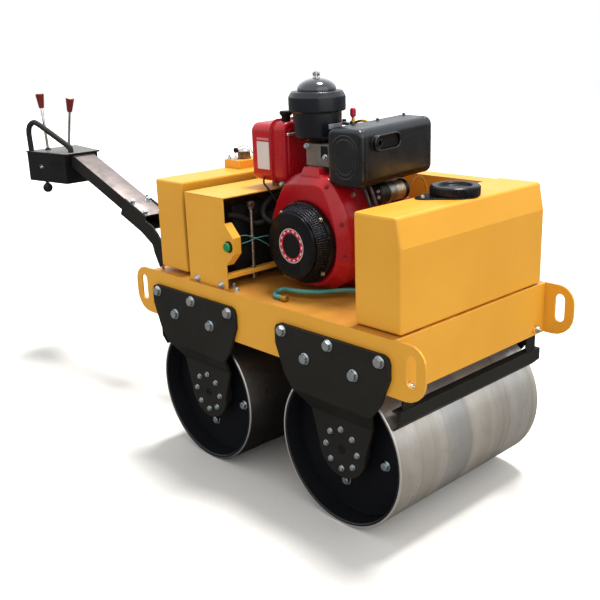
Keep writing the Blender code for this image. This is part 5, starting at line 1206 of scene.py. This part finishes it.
def make_light():
    """A sky that is white to the camera and a soft box to reflections, a high sun and a front one."""
    world = bpy.data.worlds.new("studio_sky")
    world.use_nodes = True
    bpy.context.scene.world = world
    tree = world.node_tree
    sky = tree.nodes["Background"]
    sky.inputs["Color"].default_value = (1.0, 0.99, 0.97, 1)
    sky.inputs["Strength"].default_value = 0.72
    white = add(tree, "Background", {"Color": (1, 1, 1, 1), "Strength": 1.0})
    # the soft box is wide and overhead, and the horizon below it dim
    height = add(tree, "SeparateXYZ", {0: add(tree, "TexCoord").outputs["Generated"]}).outputs[2]
    glow = add(tree, "MapRange", {0: height, 1: -0.05, 2: 0.30, 3: 0.18, 4: 1.3}).outputs[0]
    soft_box = add(tree, "Background", {"Color": (0.90, 0.95, 1, 1), "Strength": glow})
    ray = add(tree, "LightPath").outputs
    mirrored = add(tree, "MixShader", {0: ray["Is Glossy Ray"], 1: sky.outputs[0], 2: soft_box.outputs[0]})
    mix = add(tree, "MixShader", {0: ray["Is Camera Ray"], 1: mirrored.outputs[0], 2: white.outputs[0]})
    tree.links.new(mix.outputs[0], tree.nodes["World Output"].inputs["Surface"])

    for name, energy, spread, colour, way in (
            ("high_sun", 3.6, 15, (1.0, 0.98, 0.94), (-0.02, 0.27, 0.96)),
            ("front_fill", 0.90, 70, (1.0, 0.99, 0.97), (0.93, -0.10, 0.30))):
        sun = bpy.data.lights.new(name, "SUN")
        sun.energy, sun.angle, sun.color = energy, math.radians(spread), colour
        lamp = bpy.data.objects.new(name, sun)
        lamp.rotation_euler = Vector(way).to_track_quat("Z", "Y").to_euler()
        bpy.context.scene.collection.objects.link(lamp)


def make_camera():
    """Camera that looks at the roller from its right front, a little from above."""
    camera = bpy.data.cameras.new("camera")
    camera.lens = 52.377
    camera.sensor_width = 36
    eye = bpy.data.objects.new("camera", camera)
    azimuth, elevation, roll = math.radians(47.33), math.radians(17.14), math.radians(-2.08)
    distance = 2.7094
    target = Vector((MIDDLE_X - 0.1699, 0, 0.4600))
    back = Vector((math.sin(azimuth) * math.cos(elevation), -math.cos(azimuth) * math.cos(elevation),
                   math.sin(elevation)))
    right = Vector((0, 0, 1)).cross(back).normalized()
    up = back.cross(right)
    side = right * math.cos(roll) + up * math.sin(roll)
    top = up * math.cos(roll) - right * math.sin(roll)
    turn = Matrix((side, top, back)).transposed().to_4x4()
    eye.matrix_world = Matrix.Translation(target + back * distance) @ turn
    bpy.context.scene.collection.objects.link(eye)
    bpy.context.scene.camera = eye
    bpy.context.scene.view_settings.view_transform = "Standard"


# ------------------------------------------------------------------- add-on
class RollerColours(bpy.types.PropertyGroup):
    """Colours of the roller's finishes, as sRGB hex."""
    body: StringProperty(name="Body", description="Enamel of the frame and tanks", default="f2b03a")
    body_shade: StringProperty(name="Body, darker", description="Thicker film of the enamel",
                               default="eba834")
    engine: StringProperty(name="Engine", description="Enamel of the engine's covers", default="b8141f")
    grip: StringProperty(name="Grips", description="Plastic of the lever grips", default="6a1f1a")
    hose: StringProperty(name="Hose", description="Plastic of the sprinkler hose", default="3f8f88")


class RollerSizes(bpy.types.PropertyGroup):
    """Sizes of the fittings that aren't CAD solids."""
    drum_wall: FloatProperty(name="Drum wall", description="Thickness of the drums' rolled shells",
                             default=0.012, unit="LENGTH", min=0.008, max=0.014)
    bolt_across: FloatProperty(name="Bolt across flats", description="Hanger bolts' size over two flats",
                               default=0.0246, unit="LENGTH", min=0.018, max=0.028)
    hose: FloatProperty(name="Hose radius", description="Half the sprinkler hose's diameter",
                        default=0.006, unit="LENGTH", min=0.004, max=0.0062)
    loop: FloatProperty(name="Grab loop radius", description="Half the grab loop's diameter",
                        default=0.0108, unit="LENGTH", min=0.008, max=0.011)


class ROLLER_OT_finishes(bpy.types.Operator):
    """Make every finish and dress the CAD nodes"""
    bl_idname = "roller.finishes"
    bl_label = "Finishes"

    def execute(self, context):
        make_materials(context.scene.roller_colours)
        dress_nodes()
        return {"FINISHED"}


class ROLLER_OT_drums(bpy.types.Operator):
    """Build the rolled shells and their disc bolts"""
    bl_idname = "roller.drums"
    bl_label = "Drums"

    def execute(self, context):
        make_drums(context.scene.roller_sizes)
        return {"FINISHED"}


class ROLLER_OT_hanger_bolts(bpy.types.Operator):
    """Build the hanger plates' bolts and the hubs' bores"""
    bl_idname = "roller.hanger_bolts"
    bl_label = "Hanger bolts"

    def execute(self, context):
        make_hanger_bolts(context.scene.roller_sizes)
        return {"FINISHED"}


class ROLLER_OT_recoil_starter(bpy.types.Operator):
    """Build the recoil starter's housing, slots, ring, marks and bolts"""
    bl_idname = "roller.recoil_starter"
    bl_label = "Recoil starter"

    def execute(self, context):
        make_recoil_housing()
        make_recoil_slots()
        make_recoil_marks()
        make_recoil_bolts()
        return {"FINISHED"}


class ROLLER_OT_shroud(bpy.types.Operator):
    """Build the fan shroud and its screws"""
    bl_idname = "roller.shroud"
    bl_label = "Fan shroud"

    def execute(self, context):
        make_shroud()
        return {"FINISHED"}


class ROLLER_OT_head_fittings(bpy.types.Operator):
    """Build the rocker cover, decompressor, pipe and head bolts"""
    bl_idname = "roller.head_fittings"
    bl_label = "Head fittings"

    def execute(self, context):
        make_head_fittings()
        return {"FINISHED"}


class ROLLER_OT_air_cleaner(bpy.types.Operator):
    """Build the air cleaner"""
    bl_idname = "roller.air_cleaner"
    bl_label = "Air cleaner"

    def execute(self, context):
        make_air_cleaner()
        return {"FINISHED"}


class ROLLER_OT_fuel_tank(bpy.types.Operator):
    """Build the fuel tank, its tap, line and cap"""
    bl_idname = "roller.fuel_tank"
    bl_label = "Fuel tank"

    def execute(self, context):
        make_fuel_tank()
        make_fuel_tap()
        make_fuel_cap()
        return {"FINISHED"}


class ROLLER_OT_silencer(bpy.types.Operator):
    """Build the silencer"""
    bl_idname = "roller.silencer"
    bl_label = "Silencer"

    def execute(self, context):
        make_silencer()
        return {"FINISHED"}


class ROLLER_OT_starter_motor(bpy.types.Operator):
    """Build the starter motor, its straps and wire"""
    bl_idname = "roller.starter_motor"
    bl_label = "Starter motor"

    def execute(self, context):
        make_starter_motor()
        return {"FINISHED"}


class ROLLER_OT_water_fittings(bpy.types.Operator):
    """Build the water tank's cap and the sprinkler hose"""
    bl_idname = "roller.water_fittings"
    bl_label = "Tank cap and hose"

    def execute(self, context):
        make_tank_cap()
        make_hose(context.scene.roller_sizes)
        return {"FINISHED"}


class ROLLER_OT_oil_fittings(bpy.types.Operator):
    """Build the oil tank's breather and screws"""
    bl_idname = "roller.oil_fittings"
    bl_label = "Oil tank breather"

    def execute(self, context):
        make_oil_breather()
        return {"FINISHED"}


class ROLLER_OT_cover_fittings(bpy.types.Operator):
    """Build the pump cover's fittings and the cross plates' bolts"""
    bl_idname = "roller.cover_fittings"
    bl_label = "Pump cover"

    def execute(self, context):
        make_push_button()
        make_tie_bar()
        make_pump()
        make_deck_screws()
        make_cross_plate_bolts()
        return {"FINISHED"}


class ROLLER_OT_handle(bpy.types.Operator):
    """Build the handle's sheet, bolts, console lid, loop, levers and knob"""
    bl_idname = "roller.handle"
    bl_label = "Handle"

    def execute(self, context):
        make_arm_sheet()
        make_console_fittings()
        make_grab_loop(context.scene.roller_sizes)
        make_levers()
        make_hand_knob()
        return {"FINISHED"}


class ROLLER_OT_stage(bpy.types.Operator):
    """Build the floor, the sky, the lamps and the camera"""
    bl_idname = "roller.stage"
    bl_label = "Stage"

    def execute(self, context):
        make_floor()
        make_light()
        make_camera()
        return {"FINISHED"}


OPERATORS = [
    ROLLER_OT_finishes, ROLLER_OT_drums, ROLLER_OT_hanger_bolts, ROLLER_OT_recoil_starter,
    ROLLER_OT_shroud, ROLLER_OT_head_fittings, ROLLER_OT_air_cleaner, ROLLER_OT_fuel_tank,
    ROLLER_OT_silencer, ROLLER_OT_starter_motor, ROLLER_OT_water_fittings, ROLLER_OT_oil_fittings,
    ROLLER_OT_cover_fittings, ROLLER_OT_handle, ROLLER_OT_stage]


class VIEW3D_PT_road_roller(bpy.types.Panel):
    """Lists the roller's sizes, colours and operators"""
    bl_label = "Road Roller"
    bl_space_type = "VIEW_3D"
    bl_region_type = "UI"
    bl_category = "Road Roller"

    def draw(self, context):
        for group in (context.scene.roller_sizes, context.scene.roller_colours):
            for key in group.__annotations__:
                self.layout.prop(group, key)
        for kind in OPERATORS:
            self.layout.operator(kind.bl_idname)


CLASSES = [RollerColours, RollerSizes, *OPERATORS, VIEW3D_PT_road_roller]


def register():
    for kind in CLASSES:
        bpy.utils.register_class(kind)
    bpy.types.Scene.roller_colours = PointerProperty(type=RollerColours)
    bpy.types.Scene.roller_sizes = PointerProperty(type=RollerSizes)


def unregister():
    del bpy.types.Scene.roller_sizes
    del bpy.types.Scene.roller_colours
    for kind in reversed(CLASSES):
        bpy.utils.unregister_class(kind)


def main():
    """Run every operator in order."""
    register()
    for kind in OPERATORS:
        getattr(bpy.ops.roller, kind.bl_idname.split(".")[1])()


if __name__ == "__main__":
    main()
